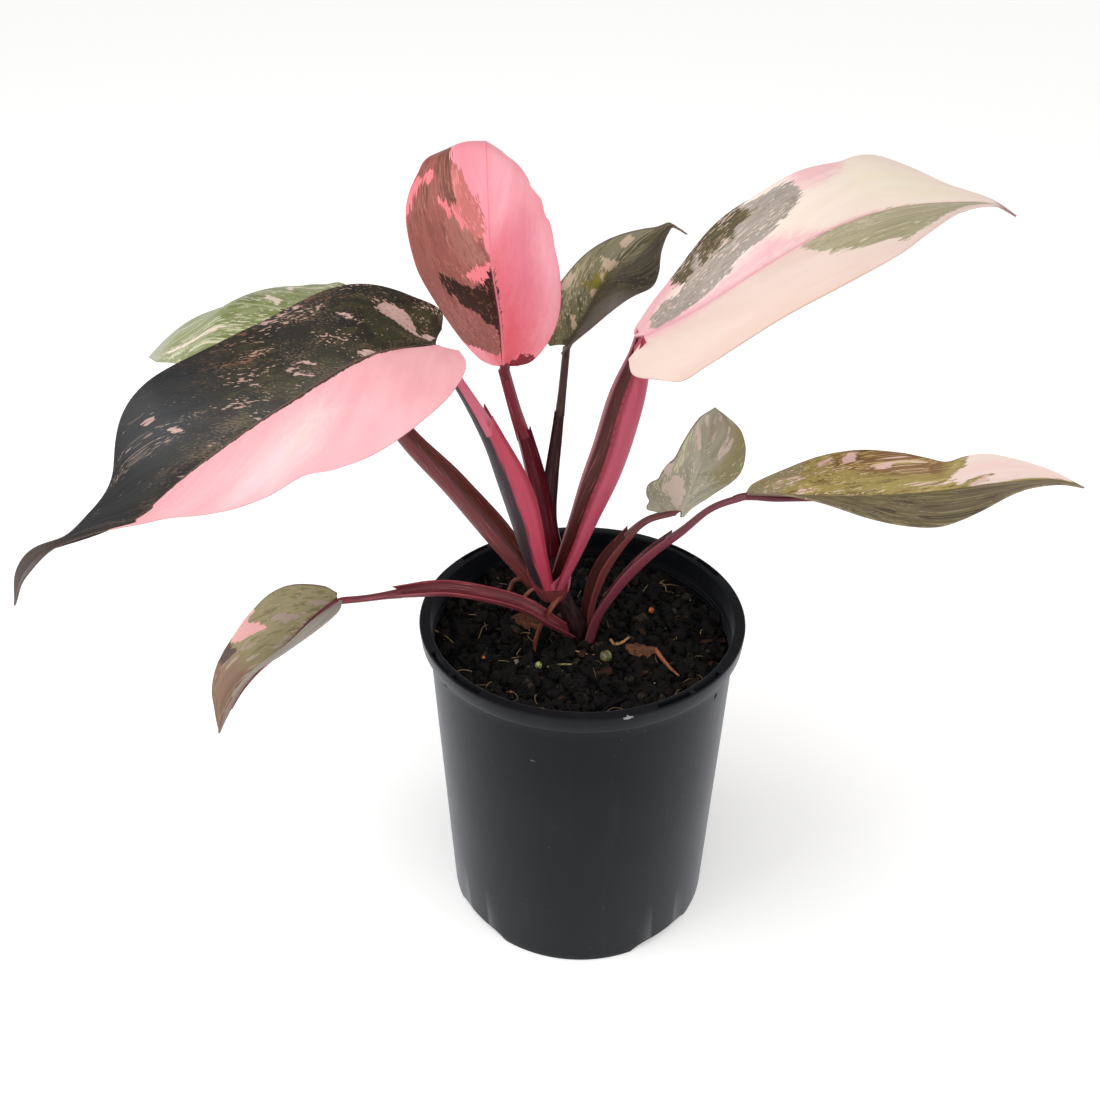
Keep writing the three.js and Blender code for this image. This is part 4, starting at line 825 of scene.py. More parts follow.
# Small swells and nicks of each margin: [along, millimetres outwards].
TRIMS = {
    "a": dict(left=[[0, 0], [0.05, 1], [0.15, 3.6], [0.23, 2], [0.3, 1], [0.36, -1.5], [0.41, -4.2],
                    [0.48, -1.5], [0.55, 0.4], [0.61, 1.6], [0.67, -0.8], [0.72, -2.6], [0.79, -1.8],
                    [0.84, -1.2], [0.9, 0.4], [1, 0]],
              right=[[0, 0], [0.55, 0], [0.66, 1.5], [0.73, 2.2], [0.79, 0.4], [0.83, -1.6],
                     [0.88, 0.2], [0.94, 0.5], [1, 0]]),
    "c": dict(left=[[0, 0.6], [0.05, 1.6], [0.12, 2.6], [0.2, 2.0], [0.3, 0.5], [0.45, 0], [1, 0]],
              right=[[0, 0], [0.15, 0.8], [0.25, 1.2], [0.35, 0.6], [0.5, 0], [0.7, 0.3], [0.8, 0.8],
                     [0.9, 1.3], [1, 0]]),
    "d": dict(left=[[0, 0], [0.75, 0], [0.82, -1.2], [0.89, -1.2], [1, 0]],
              right=[[0, -0.6], [0.14, -2], [0.26, -1.9], [0.36, -0.9], [0.46, 0], [0.56, 1.2],
                     [0.62, 0.5], [0.7, -0.3], [0.83, -1.2], [1, 0]]),
    "e": dict(left=[[0, -1], [0.05, -2], [0.12, 0.3], [0.2, 2.4], [0.28, 3.4], [0.36, 2.2],
                    [0.43, 0.3], [0.52, 0], [0.56, -1.4], [0.6, -2.6], [0.64, -0.6], [0.68, 0.9],
                    [0.75, 0], [1, 0]],
              right=[[0, 0], [0.09, -0.3], [0.15, 2.2], [0.21, 0], [0.28, -1.2], [0.41, -1], [0.5, 0],
                     [0.62, 0.8], [0.68, 0], [0.77, -1.3], [0.87, 0.3], [1, 0]]),
    "f": dict(left=[[0, 0], [0.3, 0.5], [0.41, 1], [0.5, 0], [0.57, -2], [0.62, -3.4], [0.67, -1.2],
                    [0.73, 0.7], [0.8, 0.5], [0.86, 0], [1, 0]],
              right=[[0, 0], [0.15, 0.2], [0.24, -1.1], [0.35, -0.4], [0.45, 0.4], [0.54, 1.1],
                     [0.6, 0], [0.67, -0.8], [0.79, -0.8], [0.88, 0], [1, 0]]),
    "g": dict(left=[[0, 0], [0.06, 0], [0.12, -1.4], [0.17, -2.6], [0.21, -0.4], [0.26, 0.8],
                    [0.31, 0.3], [0.35, -1], [0.41, 0], [0.47, 0.5], [0.52, -0.5], [0.6, 0], [1, 0]],
              right=[[0, -1], [0.1, -3], [0.17, -3], [0.24, -1.8], [0.34, -0.8], [0.45, 0], [0.6, 0.3],
                     [0.71, 1.4], [0.8, 1.8], [0.88, 0.8], [1, 0]]),
    "h": dict(left=[[0, -0.3], [0.15, -0.8], [0.26, -0.4], [0.42, -1], [0.5, 0.3], [0.6, 1],
                    [0.7, 1.3], [0.8, 0.5], [1, 0]],
              right=[[0, 0], [0.45, 0], [0.56, -0.9], [0.65, 0], [0.72, 0.8], [0.81, 1.2], [0.88, 0.5],
                     [1, 0]]),
}
# Single swells of a blade: [half, across, along, spread across, spread along, millimetres up].
SWELLS = {"c": [[1, 0.45, 0.68, 0.28, 0.16, 2.6], [-1, 0.45, 0.68, 0.28, 0.16, 2.6]]}
for letter, habit in HABITS.items():
    LEAVES[letter].update(habit, trims=TRIMS.get(letter, {}), swells=SWELLS.get(letter, []))

# %% Layers of each leaf
def streaks(colour, length, width, level, softness=0.02, within=None, crowding=0.0, strength=1.0):
    return dict(kind="streaks", colours=(colour, colour), length=length, width=width, level=level,
                softness=softness, within=within, crowding=crowding, strength=strength)


def sector(name, light, deep, fray=2.0, softness=0.25, speckled=None, strength=1.0):
    return dict(kind="sector", name=name, colours=(light, deep), fray=fray, softness=softness,
                speckled=speckled, strength=strength)


def margin_line(colour, strength=0.6):
    return dict(kind="margin", colours=(colour, colour), strength=strength)


FINISHES = {
    "a": dict(ground=((36, 30, 24), (44, 38, 27)), rib=(96, 66, 58), layers=[
        sector("moss", (58, 55, 32), (48, 44, 27), fray=4.0, softness=3.5, strength=0.8),
        streaks((62, 58, 34), 8.0, 3.4, 0.6, 0.05, crowding=0.5, strength=0.6),
        streaks((26, 22, 21), 16.0, 6.0, 0.56, 0.09, strength=0.8),
        streaks((112, 92, 72), 1.6, 0.42, 0.62, 0.03, crowding=0.6, strength=0.6),
        streaks((176, 146, 130), 2.4, 0.7, 0.685, 0.015, crowding=0.7, strength=0.9),
        sector("copper", (142, 94, 72), (112, 72, 54), speckled=0.63, strength=0.8),
        # Partly painted sheen: a faint bluish tone over the dark half where the sheen shows.
        sector("calm_sheen", (42, 43, 46), (33, 34, 36), softness=9.0, fray=4.0, strength=0.88),
        streaks((150, 134, 120), 1.2, 0.5, 0.7, 0.01, within="calm_sheen", crowding=0.6, strength=0.8),
        margin_line((58, 36, 36)),
        sector("flush", (196, 164, 154), (176, 142, 134), fray=0.9),
        streaks((104, 84, 68), 3.0, 0.6, 0.6, 0.03, within="flush", strength=0.5),
        sector("tail", (84, 72, 66), (70, 58, 54), softness=9.0),
        sector("pink", (236, 174, 178), (230, 162, 168), fray=0.5),
        # Painted sheen: a pale wash over the lower pink half.
        sector("pale", (238, 200, 206), (236, 206, 200), softness=9.0, fray=3.0, strength=0.8)]),
    "b": dict(ground=((106, 116, 64), (130, 138, 90)), rib=(166, 166, 128), layers=[
        streaks((150, 152, 114), 12.0, 2.6, 0.56, 0.08, strength=0.6),
        streaks((204, 200, 172), 4.0, 0.7, 0.66, 0.02, crowding=0.5),
        streaks((196, 192, 160), 2.0, 0.6, 0.66, 0.02, crowding=0.8),
        sector("dust", (164, 164, 144), (150, 154, 128), softness=8.0),
        margin_line((120, 124, 98)),
        sector("cream", (212, 204, 184), (218, 194, 180), fray=1.0)]),
    "c": dict(ground=((240, 154, 166), (237, 142, 155)), rib=(230, 126, 138), layers=[
        sector("crest", (226, 150, 152), (232, 156, 160), softness=9.0, strength=0.8),
        # Painted highlight: paler pink patches on the face.
        sector("bright_highlight", (246, 178, 190), (244, 170, 182), softness=9.0, fray=2.0, strength=0.9),
        sector("blush", (214, 84, 96), (222, 98, 110), softness=16.0, fray=3.0),
        # Painted shade: a darker rose patch in the middle of the right half.
        sector("dusk_shade", (218, 110, 132), (224, 118, 140), softness=9.0, fray=2.0, strength=0.8),
        sector("mauve", (138, 80, 72), (154, 92, 84), fray=1.4),
        streaks((116, 68, 58), 5.0, 1.8, 0.57, 0.06, within="mauve", strength=0.5),
        streaks((190, 112, 106), 2.6, 0.5, 0.6, 0.03, within="mauve", crowding=0.4, strength=0.55),
        sector("dusty", (200, 118, 114), (188, 106, 102), fray=1.6),
        streaks((226, 138, 142), 2.4, 0.7, 0.6, 0.02, within="dusty", strength=0.7),
        sector("tan", (172, 114, 104), (156, 100, 92), fray=2.2),
        streaks((130, 80, 70), 2.6, 0.6, 0.58, 0.03, within="tan", strength=0.7),
        sector("olive", (106, 62, 50), (120, 74, 62), fray=1.6),
        streaks((168, 104, 92), 2.2, 0.5, 0.61, 0.02, within="olive"),
        sector("rose", (232, 130, 136), (226, 118, 126), fray=1.8),
        sector("umber", (44, 18, 12), (58, 28, 20), fray=1.5),
        streaks((124, 84, 66), 2.0, 0.35, 0.64, 0.02, within="umber"),
        sector("keel", (82, 26, 28), (70, 22, 24), fray=0.15, softness=0.3),
        sector("spot", (112, 38, 44), (136, 48, 54), fray=1.8),
        margin_line((212, 88, 104))]),
    "d": dict(ground=((116, 112, 80), (132, 126, 98)), rib=(120, 112, 92), layers=[
        # Painted sheen: a paler grey over the upper left half.
        sector("haze_sheen", (144, 138, 118), (132, 126, 106), softness=5.0, fray=3.0, strength=0.7),
        streaks((80, 76, 52), 6.0, 2.4, 0.57, 0.07, strength=0.7),
        streaks((168, 158, 126), 1.8, 0.5, 0.61, 0.02, crowding=0.5),
        streaks((198, 178, 154), 4.0, 0.9, 0.67, 0.02, crowding=0.5),
        sector("glow", (146, 134, 60), (110, 104, 46), fray=1.8, softness=0.6),
        sector("peach", (208, 182, 156), (188, 168, 146), fray=1.2),
        sector("shade", (66, 58, 44), (78, 71, 60), fray=0.6, softness=2.0),
        # Painted sheen: a grey band low on the dark right half.
        sector("pewter_sheen", (104, 98, 94), (92, 86, 82), softness=4.0, strength=0.8),
        sector("ink", (46, 38, 30), (52, 43, 33), softness=4.0),
        streaks((92, 86, 60), 7.0, 1.6, 0.58, 0.08, within="shade", strength=0.45),
        streaks((136, 128, 108), 1.6, 0.5, 0.68, 0.02, within="shade"),
        margin_line((84, 68, 64))]),
    "e": dict(ground=((231, 214, 202), (228, 209, 196)), rib=(220, 160, 170), layers=[
        sector("lower", (224, 202, 191), (220, 195, 184), softness=1.5, fray=0.3),
        sector("lemon", (230, 220, 197), (226, 214, 189), softness=9.0, fray=3.0, strength=0.9),
        sector("warm", (214, 184, 170), (217, 188, 176), softness=4.0, fray=2.0, strength=0.7),
        sector("blush", (226, 182, 184), (224, 172, 178), softness=3.5, fray=2.0),
        margin_line((196, 150, 146), strength=0.2),
        sector("sage", (152, 142, 131), (168, 156, 145), fray=1.5),
        streaks((130, 124, 110), 2.4, 1.6, 0.57, 0.05, within="sage", strength=0.6),
        streaks((202, 182, 170), 2.2, 0.9, 0.61, 0.02, within="sage", crowding=0.4),
        sector("bark", (74, 64, 44), (92, 80, 56), fray=1.9),
        streaks((186, 164, 150), 2.0, 1.0, 0.575, 0.02, within="bark", crowding=0.5),
        streaks((118, 112, 74), 1.8, 1.0, 0.58, 0.03, within="bark", strength=0.7),
        sector("olive", (162, 154, 124), (174, 164, 138), fray=1.5),
        streaks((134, 130, 96), 2.4, 1.5, 0.57, 0.05, within="olive", strength=0.6),
        streaks((206, 192, 168), 1.8, 0.8, 0.61, 0.02, within="olive", crowding=0.5, strength=0.9),
        sector("band", (216, 156, 164), (220, 164, 172), softness=1.4, fray=0.3, strength=0.9),
        sector("tail", (150, 118, 118), (120, 88, 92), softness=3.0)]),
    "f": dict(ground=((164, 148, 88), (148, 132, 76)), rib=(156, 140, 100), layers=[
        sector("umber", (138, 104, 68), (118, 86, 56), softness=2.0, fray=3.0),
        streaks((104, 82, 48), 4.0, 1.6, 0.58, 0.04, strength=0.7),
        sector("green", (152, 142, 108), (138, 128, 94), softness=2.5, fray=2.0),
        streaks((190, 168, 104), 1.6, 0.5, 0.59, 0.03, crowding=0.5, strength=0.8),
        streaks((214, 190, 158), 2.6, 0.65, 0.65, 0.012, crowding=0.6),
        streaks((224, 192, 178), 4.2, 1.0, 0.69, 0.012, crowding=0.8),
        margin_line((104, 76, 58)),
        sector("pink", (224, 188, 178), (212, 174, 166), fray=0.9),
        sector("cream", (234, 214, 204), (234, 204, 198), fray=1.4),
        sector("shade", (114, 103, 78), (100, 91, 69), fray=0.3),
        streaks((70, 64, 52), 9.0, 3.0, 0.57, 0.07, within="shade", strength=0.8),
        streaks((136, 126, 90), 8.0, 1.1, 0.57, 0.05, within="shade", strength=0.8),
        streaks((166, 154, 124), 2.6, 0.5, 0.66, 0.02, within="shade")]),
    "g": dict(ground=((148, 141, 122), (160, 152, 134)), rib=(168, 160, 142), layers=[
        streaks((130, 126, 106), 8.0, 3.4, 0.56, 0.08, strength=0.6),
        sector("gold", (140, 127, 88), (128, 118, 78), softness=4.0, strength=0.9),
        streaks((188, 180, 150), 1.7, 0.5, 0.63, 0.012, crowding=0.7),
        streaks((188, 180, 160), 3.6, 0.7, 0.67, 0.015, crowding=0.5),
        margin_line((112, 98, 84)),
        sector("buff", (192, 172, 160), (184, 162, 152), fray=1.1)]),
    "h": dict(ground=((134, 126, 90), (148, 138, 104)), rib=(108, 56, 66), layers=[
        sector("brown", (144, 115, 98), (130, 102, 86), softness=5.0, fray=3.0),
        streaks((108, 100, 70), 6.0, 2.0, 0.58, 0.06, strength=0.6),
        streaks((158, 148, 114), 2.4, 0.6, 0.62, 0.02, crowding=0.5),
        streaks((174, 152, 136), 7.0, 1.2, 0.67, 0.02, crowding=0.5),
        sector("umber", (102, 84, 72), (90, 74, 64), fray=1.2),
        sector("buff", (168, 150, 136), (160, 140, 128), fray=1.0),
        margin_line((96, 70, 64)),
        sector("pink", (226, 176, 170), (222, 164, 162), fray=1.0),
        # Painted sheen: grey over the lower left half.
        sector("frost_sheen", (156, 152, 144), (142, 136, 128), softness=0.6)]),
}


UNDERSIDE, UNDERSIDE_STRENGTH = (142, 108, 100), 0.4


def streak_mask(tree, vein, seed, length, width, level, softness, crowding=0.0):
    return use(tree, STREAKS, {"Vein": vein, "Length": length, "Width": width, "Level": level,
                               "Softness": softness, "Crowding": crowding, "Seed": seed})["Mask"]


def layer_mask(tree, layer, vein, seed, masks):
    """Where one layer of paint lies on the leaf."""
    if layer["kind"] == "margin":
        return smooth_step(tree, attribute(tree, "edge"), 0.5, 0.15)
    if layer["kind"] == "streaks":
        mask = streak_mask(tree, vein, seed, layer["length"], layer["width"], layer["level"],
                           layer["softness"], layer["crowding"])
        return times(tree, mask, masks[layer["within"]]) if layer["within"] else mask
    depth = attribute(tree, "sector_" + layer["name"])
    mask = use(tree, FRAYED, {"Depth": depth, "Vein": vein, "Fray": layer["fray"],
                              "Softness": layer["softness"], "Seed": seed})["Mask"]
    masks[layer["name"]] = mask
    if layer["speckled"]:
        dots = streak_mask(tree, vein, seed + 1, 1.8, 0.6, layer["speckled"], 0.03, 0.5)
        mask = times(tree, mask, dots)
    return mask


def leaf_material(letter):
    look = FINISHES[letter]
    material, tree, shader = new_material(f"leaf_{letter}", 0.42, coat=0.03, coat_roughness=0.3,
                                          specular=LEAVES[letter]["gloss"])
    vein = attribute(tree, "vein", "Vector")
    mottle = streak_mask(tree, vein, 2.0, 30.0, 8.0, 0.5, 0.2)
    colour = blend_colour(tree, mottle, *(rgb(*c) for c in look["ground"]))
    masks = {}
    for number, layer in enumerate(look["layers"]):
        mask = layer_mask(tree, layer, vein, 5.0 + 3.7 * number, masks)
        tone = blend_colour(tree, mottle, *(rgb(*c) for c in layer["colours"]))
        colour = paint(tree, colour, tone, mask, layer["strength"])
    rib = smooth_step(tree, attribute(tree, "rib"), -0.3, 0.3)
    colour = paint(tree, colour, rgb(*look["rib"]), rib)
    under = times(tree, attribute(tree, "under"), UNDERSIDE_STRENGTH)
    colour = paint(tree, colour, rgb(*UNDERSIDE), under)
    gloss = streak_mask(tree, vein, 31.0, 18.0, 4.0, 0.5, 0.2)
    surface(tree, shader, colour, varied(tree, varied(tree, 0.4, gloss, 0.07), under, 0.3))
    bump(tree, shader, use(tree, RELIEF, {"Vein": vein})["Height"], 0.07, 0.5)
    return material


# %% [markdown]
# ## Blades
# A blade is a flat grid, bent in code onto its two curved halves, so its rows already run the way
# the side veins do. A shallow groove follows the midrib on the face, and the margin waves and
# swells a little. Solidify then gives it its thickness.

# %% Build the blades
BLADE_COLUMNS, BLADE_ROWS = 44, 120
BLADE_THICKNESS, MEAN_WIDTH = 0.7, 0.85
BENDS, BUNCHING, SWEEP = 12, 1.15, 1.5
MIDRIB_BUNCHING = 1.5
GROOVE_DEPTH, GROOVE_WIDTH = 0.22, 1.5
MARGIN_WAVES = 21
LEAST_RIB, RIB_TAPER = 0.12, 1.6


def swell(leaf, sign, reach, u):
    total = np.zeros_like(u)
    for half, across, along, wide, long, height in leaf["swells"]:
        if half == sign:
            total += height * np.exp(-((reach - across) / wide) ** 2 - ((u - along) / long) ** 2)
    return total


def blade_axes(leaf, rib, s):
    """The ways across and up from a blade at lengths along its midrib, turned by its roll."""
    heading = rib.heading(np.clip(s, 0, rib.length))
    side = square_to(leaf["side"], heading)
    normal = np.cross(side, heading)
    turn = np.radians(value_at(leaf["roll"], s / rib.length))[:, None]
    return (side * np.cos(turn) + normal * np.sin(turn),
            normal * np.cos(turn) - side * np.sin(turn))


def blade_half(leaf, sign, reach, u):
    """Points of one half at shares of its reach and of its margin, with what the material reads."""
    name = "right" if sign > 0 else "left"
    half = leaf[name]
    rib = Line(leaf["midrib"])
    margin = Line(half["outline"])
    end = margin.at(u * margin.length)
    if name in leaf["trims"]:
        end[:, 1] = np.maximum(end[:, 1] + value_at(leaf["trims"][name], u), 0.0)
    widest = max(out for _, out in half["outline"])
    start = rib.length * u**BUNCHING
    s = start + (end[:, 0] - start) * reach**SWEEP
    f = s / rib.length
    out_mm = end[:, 1] * reach
    outward = np.zeros_like(s)
    upward = np.zeros_like(s)
    for i in range(BENDS):
        angle = np.radians(value_at(half["fold"], f)
                           + value_at(half["cup"], f) * out_mm * (i + 0.5) / BENDS / widest)
        outward += np.cos(angle) * out_mm / BENDS
        upward += np.sin(angle) * out_mm / BENDS
    room = np.clip(np.minimum(u * 8, (1 - u) * 5), 0, 1)
    groove = -GROOVE_DEPTH * np.exp(-(out_mm / GROOVE_WIDTH) ** 2) * room
    wave = leaf["wave"] * np.sin(u * MARGIN_WAVES + sign + widest) * reach**5 * room
    upward += groove + wave + swell(leaf, sign, reach, u)
    across, up = blade_axes(leaf, rib, s)
    points = rib.at(s) + sign * across * outward[:, None] + up * upward[:, None]
    at_base, per_length = leaf["sweep"]
    vein_mm = (u - (at_base + per_length * u) * reach) * rib.length
    slant = math.hypot(1, (at_base + 0.5 * per_length) * rib.length / widest)
    rib_width = LEAST_RIB + leaf["rib"] * (1 - np.clip(u, 0, 1)) ** RIB_TAPER
    return points, dict(
        vein=np.stack([sign * np.hypot(s - start, out_mm) * slant, vein_mm / slant,
                       np.full_like(s, 7.0 * sign)], -1),
        flat=np.stack([sign * reach, u, np.zeros_like(u)], -1),
        rib=rib_width - out_mm, edge=(1 - reach) * end[:, 1])


def build_blade(letter):
    leaf = LEAVES[letter]

    def halves(across, along):
        reach = np.abs(2 * across - 1) ** MIDRIB_BUNCHING
        right, left = (blade_half(leaf, sign, reach, along) for sign in (1, -1))
        on_right = across >= 0.5
        points = np.where(on_right[:, None], right[0], left[0])
        values = {key: np.where(on_right if right[1][key].ndim == 1 else on_right[:, None],
                                right[1][key], left[1][key]) for key in right[1]}
        return points, values

    piece = shaped_grid(f"blade_{letter}", BLADE_COLUMNS, BLADE_ROWS,
                        lambda across, along: halves(across, along)[0],
                        lambda across, along: halves(across, along)[1])
    upper = len(piece.data.vertices)
    thicken(piece, BLADE_THICKNESS)
    hold(piece, "under", np.arange(len(piece.data.vertices)) >= upper)
    flat = held(piece, "flat")[:, :2].astype(float)
    width = max(out for _, out in leaf["right"]["outline"])
    length = Line(leaf["midrib"]).length
    scale = np.array([width * MEAN_WIDTH, length])
    for name, outlines in SECTORS[letter].items():
        depths = [depth_inside(flat * scale, np.array(outline) * scale) for outline in outlines]
        hold(piece, "sector_" + name, np.max(depths, axis=0))
    smooth(piece, 50)
    return finish(piece, leaf_material(letter), f"blade_{letter}", f"leaf_blade_{letter}")


for letter in LEAVES:
    blade = build_blade(letter)
    print(blade.name, "faces", len(blade.data.polygons))

# %% [markdown]
# ## Petioles
# A philodendron's petiole is grooved, and its lower part is a sheath: two thin wings that once
# wrapped the next leaf and that end in a pair of ears. Its outline is a rounded back and a front
# that dips between the wings. Each is a grid rolled into a tube, with extra rings at the ears.

# %% Petiole finish
# The back's tone, those of the two flanks beyond the splits, that of the right flank above the
# ears, the groove and the rims of the left and right wings, and how strongly the fibres show.
PETIOLE_LOOKS = {
    "a": dict(back=(46, 32, 38), left=(70, 34, 44), right=(178, 62, 84), upper=(200, 98, 118),
              groove=(132, 26, 44), rims=((140, 28, 50), (136, 24, 44)), split=(-0.9, 0.6), fibres=0.15),
    "b": dict(back=(66, 34, 40), left=(58, 32, 38), right=(112, 50, 52), upper=(106, 50, 48),
              groove=(112, 48, 30), rims=((150, 74, 74), (72, 30, 32)), split=(-0.75, -0.05), fibres=0.5),
    "c": dict(back=(96, 18, 32), left=(84, 20, 32), right=(100, 18, 34), upper=(118, 25, 42),
              groove=(104, 20, 36), rims=((78, 18, 30), (120, 34, 50)), split=(-0.6, 0.5), fibres=0.3),
    "d": dict(back=(44, 28, 34), left=(124, 62, 70), right=(64, 42, 38), upper=(70, 46, 42),
              groove=(60, 30, 34), rims=((104, 48, 56), (84, 40, 46)), split=(-0.7, 0.4), fibres=0.35),
    "e": dict(back=(168, 66, 88), left=(176, 72, 94), right=(190, 96, 116), upper=(200, 116, 132),
              groove=(84, 30, 30), rims=((128, 24, 46), (216, 150, 158)), split=(-0.8, 0.7), fibres=0.15),
    "f": dict(back=(98, 38, 52), left=(112, 50, 62), right=(76, 30, 42), upper=(104, 52, 62),
              groove=(66, 26, 36), rims=((136, 66, 78), (120, 56, 68)), split=(-0.4, 0.4), fibres=0.4),
    "g": dict(back=(110, 46, 48), left=(118, 56, 56), right=(86, 34, 40), upper=(110, 66, 66),
              groove=(84, 34, 32), rims=((140, 72, 74), (124, 60, 64)), split=(-0.4, 0.4), fibres=0.45),
    "h": dict(back=(126, 50, 58), left=(156, 72, 80), right=(104, 42, 50), upper=(116, 56, 66),
              groove=(112, 44, 52), rims=((176, 84, 92), (168, 78, 86)), split=(-0.3, 0.45), fibres=0.6),
}


def petiole_material(letter):
    look = PETIOLE_LOOKS[letter]
    tones = {key: rgb(*look[key]) for key in ("back", "left", "right", "upper", "groove")}
    material, tree, shader = new_material(f"petiole_{letter}", 0.4, coat=0.05, coat_roughness=0.3,
                                          specular=0.3)
    fibre = attribute(tree, "fibre", "Vector")
    place = add(tree, "SeparateXYZ", {0: attribute(tree, "section", "Vector")}).outputs
    fray = fibre_lines(tree, fibre, 30.0, 1.2, 3.0)
    flank = varied(tree, place["X"], minus(tree, fray, 0.5), 0.35)
    low, high = look["split"]
    ears = LEAVES[letter]["petiole"]["sheath"]
    above = smooth_step(tree, place["Z"], ears - 0.01, ears + 0.01)
    right = blend_colour(tree, above, tones["right"], tones["upper"])
    on_right = smooth_step(tree, flank, high - 0.07, high + 0.07)
    colour = paint(tree, tones["back"], right, on_right)
    on_left = smooth_step(tree, flank, low + 0.1, low - 0.1)
    colour = paint(tree, colour, tones["left"], on_left)
    inside = blend_colour(tree, above, tones["groove"], tones["upper"])
    colour = paint(tree, colour, inside, smooth_step(tree, place["Y"], 0.35, 0.65))
    right_rim = smooth_step(tree, place["X"], -0.1, 0.1)
    rims = blend_colour(tree, right_rim, *(rgb(*c) for c in look["rims"]))
    near_rim = smooth_step(tree, math_node(tree, "ABSOLUTE", place["X"]), 0.86, 0.95)
    near_rim = times(tree, near_rim, minus(tree, 0.8, above))
    colour = paint(tree, colour, rims, math_node(tree, "MAXIMUM", near_rim, 0.0))
    stripes = fibre_lines(tree, fibre, 22.0, 0.5, 9.0)
    shown = varied(tree, look["fibres"], place["Y"], 0.4)
    pale = times(tree, smooth_step(tree, stripes, 0.58, 0.72), shown)
    colour = paint(tree, colour, rgb(206, 118, 122), pale)
    dark = times(tree, smooth_step(tree, stripes, 0.44, 0.32), shown)
    colour = paint(tree, colour, rgb(52, 22, 28), dark)
    surface(tree, shader, colour, varied(tree, 0.34, fray, 0.16))
    bump(tree, shader, fibre_lines(tree, fibre, 60.0, 0.6, 5.0), 0.14, 0.6)
    return material


# %% Petiole shape
DEPTH, MOUTH, GROOVE_FLOOR = 0.42, 0.43, 0.42
WING_RISE, EAR_LEAN, EAR_LENGTH = (0.12, 0.38), 0.8, 0.035
OPEN_ABOVE_SHEATH = 0.25
BACK_SHARE = 0.58
WAVER, WAVERS = 0.07, 17
EAR_RINGS = np.array([-0.03, -0.022, -0.015, -0.008, -0.003, 0.0, 0.004, 0.012])


def build_petiole(letter):
    petiole = LEAVES[letter]["petiole"]
    line = Line(petiole["path"])
    sheath = petiole["sheath"]
    fractions = np.unique(np.concatenate([np.linspace(0, 1, 70), sheath + EAR_RINGS]))
    rings = len(fractions) - 1

    def section(across, along):
        f = fractions[np.round(along * rings).astype(int)]
        width = evenly(petiole["width"], f)
        sheathed = f <= sheath + 1e-9
        opened = np.where(sheathed, 1.0, OPEN_ABOVE_SHEATH)
        share = WING_RISE[0] + (WING_RISE[1] - WING_RISE[0]) * f / sheath
        rise = np.where(sheathed, width * share, 0.0)
        rise *= 1 + WAVER * np.sin(f * WAVERS + len(petiole["path"]))
        ear = np.clip((f - sheath + EAR_LENGTH) / EAR_LENGTH, 0, 1) ** 2 * sheathed
        a, b = width / 2, DEPTH * width
        back = across <= BACK_SHARE
        degrees = np.where(back, -90 + 180 * across / BACK_SHARE,
                           90 - 180 * (across - BACK_SHARE) / (1 - BACK_SHARE))
        sine, cosine = np.sin(np.radians(degrees)), np.abs(np.cos(np.radians(degrees)))
        wing = np.abs(degrees / 90) ** 3
        mouth = MOUTH * width + (a - MOUTH * width) * np.abs(sine) ** 8
        groove = -GROOVE_FLOOR * b * cosine + rise * wing
        x = np.where(back, a, mouth) * sine
        y = np.where(back, -b * cosine + rise * wing, b * cosine * (1 - opened) + groove * opened)
        return f, x, y, EAR_LEAN * width * wing * ear, a, degrees, back

    def place(across, along):
        f, x, y, lean, _, _, _ = section(across, along)
        heading = line.heading(f * line.length)
        out = square_to(petiole["channel"], heading)
        side = np.cross(out, heading)
        return (line.at(f * line.length) + side * x[:, None] + out * y[:, None]
                + heading * lean[:, None])

    def keep(across, along):
        f, _, _, _, a, degrees, back = section(across, along)
        return {"fibre": np.stack([np.radians(degrees) * a * np.where(back, 1, -1), f * line.length,
                                   np.where(back, 0.0, 9.0)], -1),
                "section": np.stack([degrees / 90, np.where(back, 0.0, 1.0), f], -1)}

    piece = shaped_grid(f"stalk_{letter}", 40, rings, place, keep, tube=True)
    smooth(piece, 55)
    return finish(piece, petiole_finish[letter], f"petiole_{letter}", f"petiole_{letter}")


petiole_finish = {letter: petiole_material(letter) for letter in LEAVES}
for letter in LEAVES:
    stalk = build_petiole(letter)
    print(stalk.name, "faces", len(stalk.data.polygons))

# %% [markdown]
# ## Midribs
# Under each blade the petiole runs on as a thick rib that thins out towards the tip. A tapering
# strand starts inside the petiole's end, turns into the blade and follows its underside.

# %% Build the midribs
def midrib_ridge(letter):
    leaf = LEAVES[letter]
    petiole = Line(leaf["petiole"]["path"])
    rib = Line(leaf["midrib"])
    s = np.array([0.02, 0.07, 0.15, 0.28, 0.42, 0.56, 0.7, 0.83]) * rib.length
    _, up = blade_axes(leaf, rib, s)
    end =leaf["petiole"]["width"][-1] * 0.42
    radii = np.maximum(end * np.array([1, 0.88, 0.7, 0.54, 0.42, 0.34, 0.25, 0.14]), 0.2)
    hang = np.minimum(value_at(leaf["left"]["fold"], s / rib.length),
                      value_at(leaf["right"]["fold"], s / rib.length))
    sunk = np.clip(s / rib.length / leaf["sunk_by"], 0, 1)
    depth = (radii * 0.9 + 0.45) / np.cos(np.radians(np.minimum(hang, 0))) * (0.1 + 0.9 * sunk)
    under = rib.at(s) - up * depth[:, None]
    start = [petiole.at(np.array([petiole.length * f]))[0] for f in (0.955, 0.985)]
    ridge = strand(f"midrib_{letter}", [*start, *under], [end * 0.9, end, *radii],
                   sides=14, rings=60)
    hold(ridge, "section", np.zeros((len(ridge.data.vertices), 3)))
    return finish(ridge, petiole_finish[letter], f"petiole_{letter}")


for letter in LEAVES:
    midrib_ridge(letter)

# %% [markdown]
# ## Stem, crown and roots
# The short stem leans out of the mix and is ringed where old leaves sat. At its top the petiole
# bases wrap round each other like collars. A collar is a grid bent round the crown and given a
# thickness. Aerial roots hang from below them, each a slightly uneven strand.

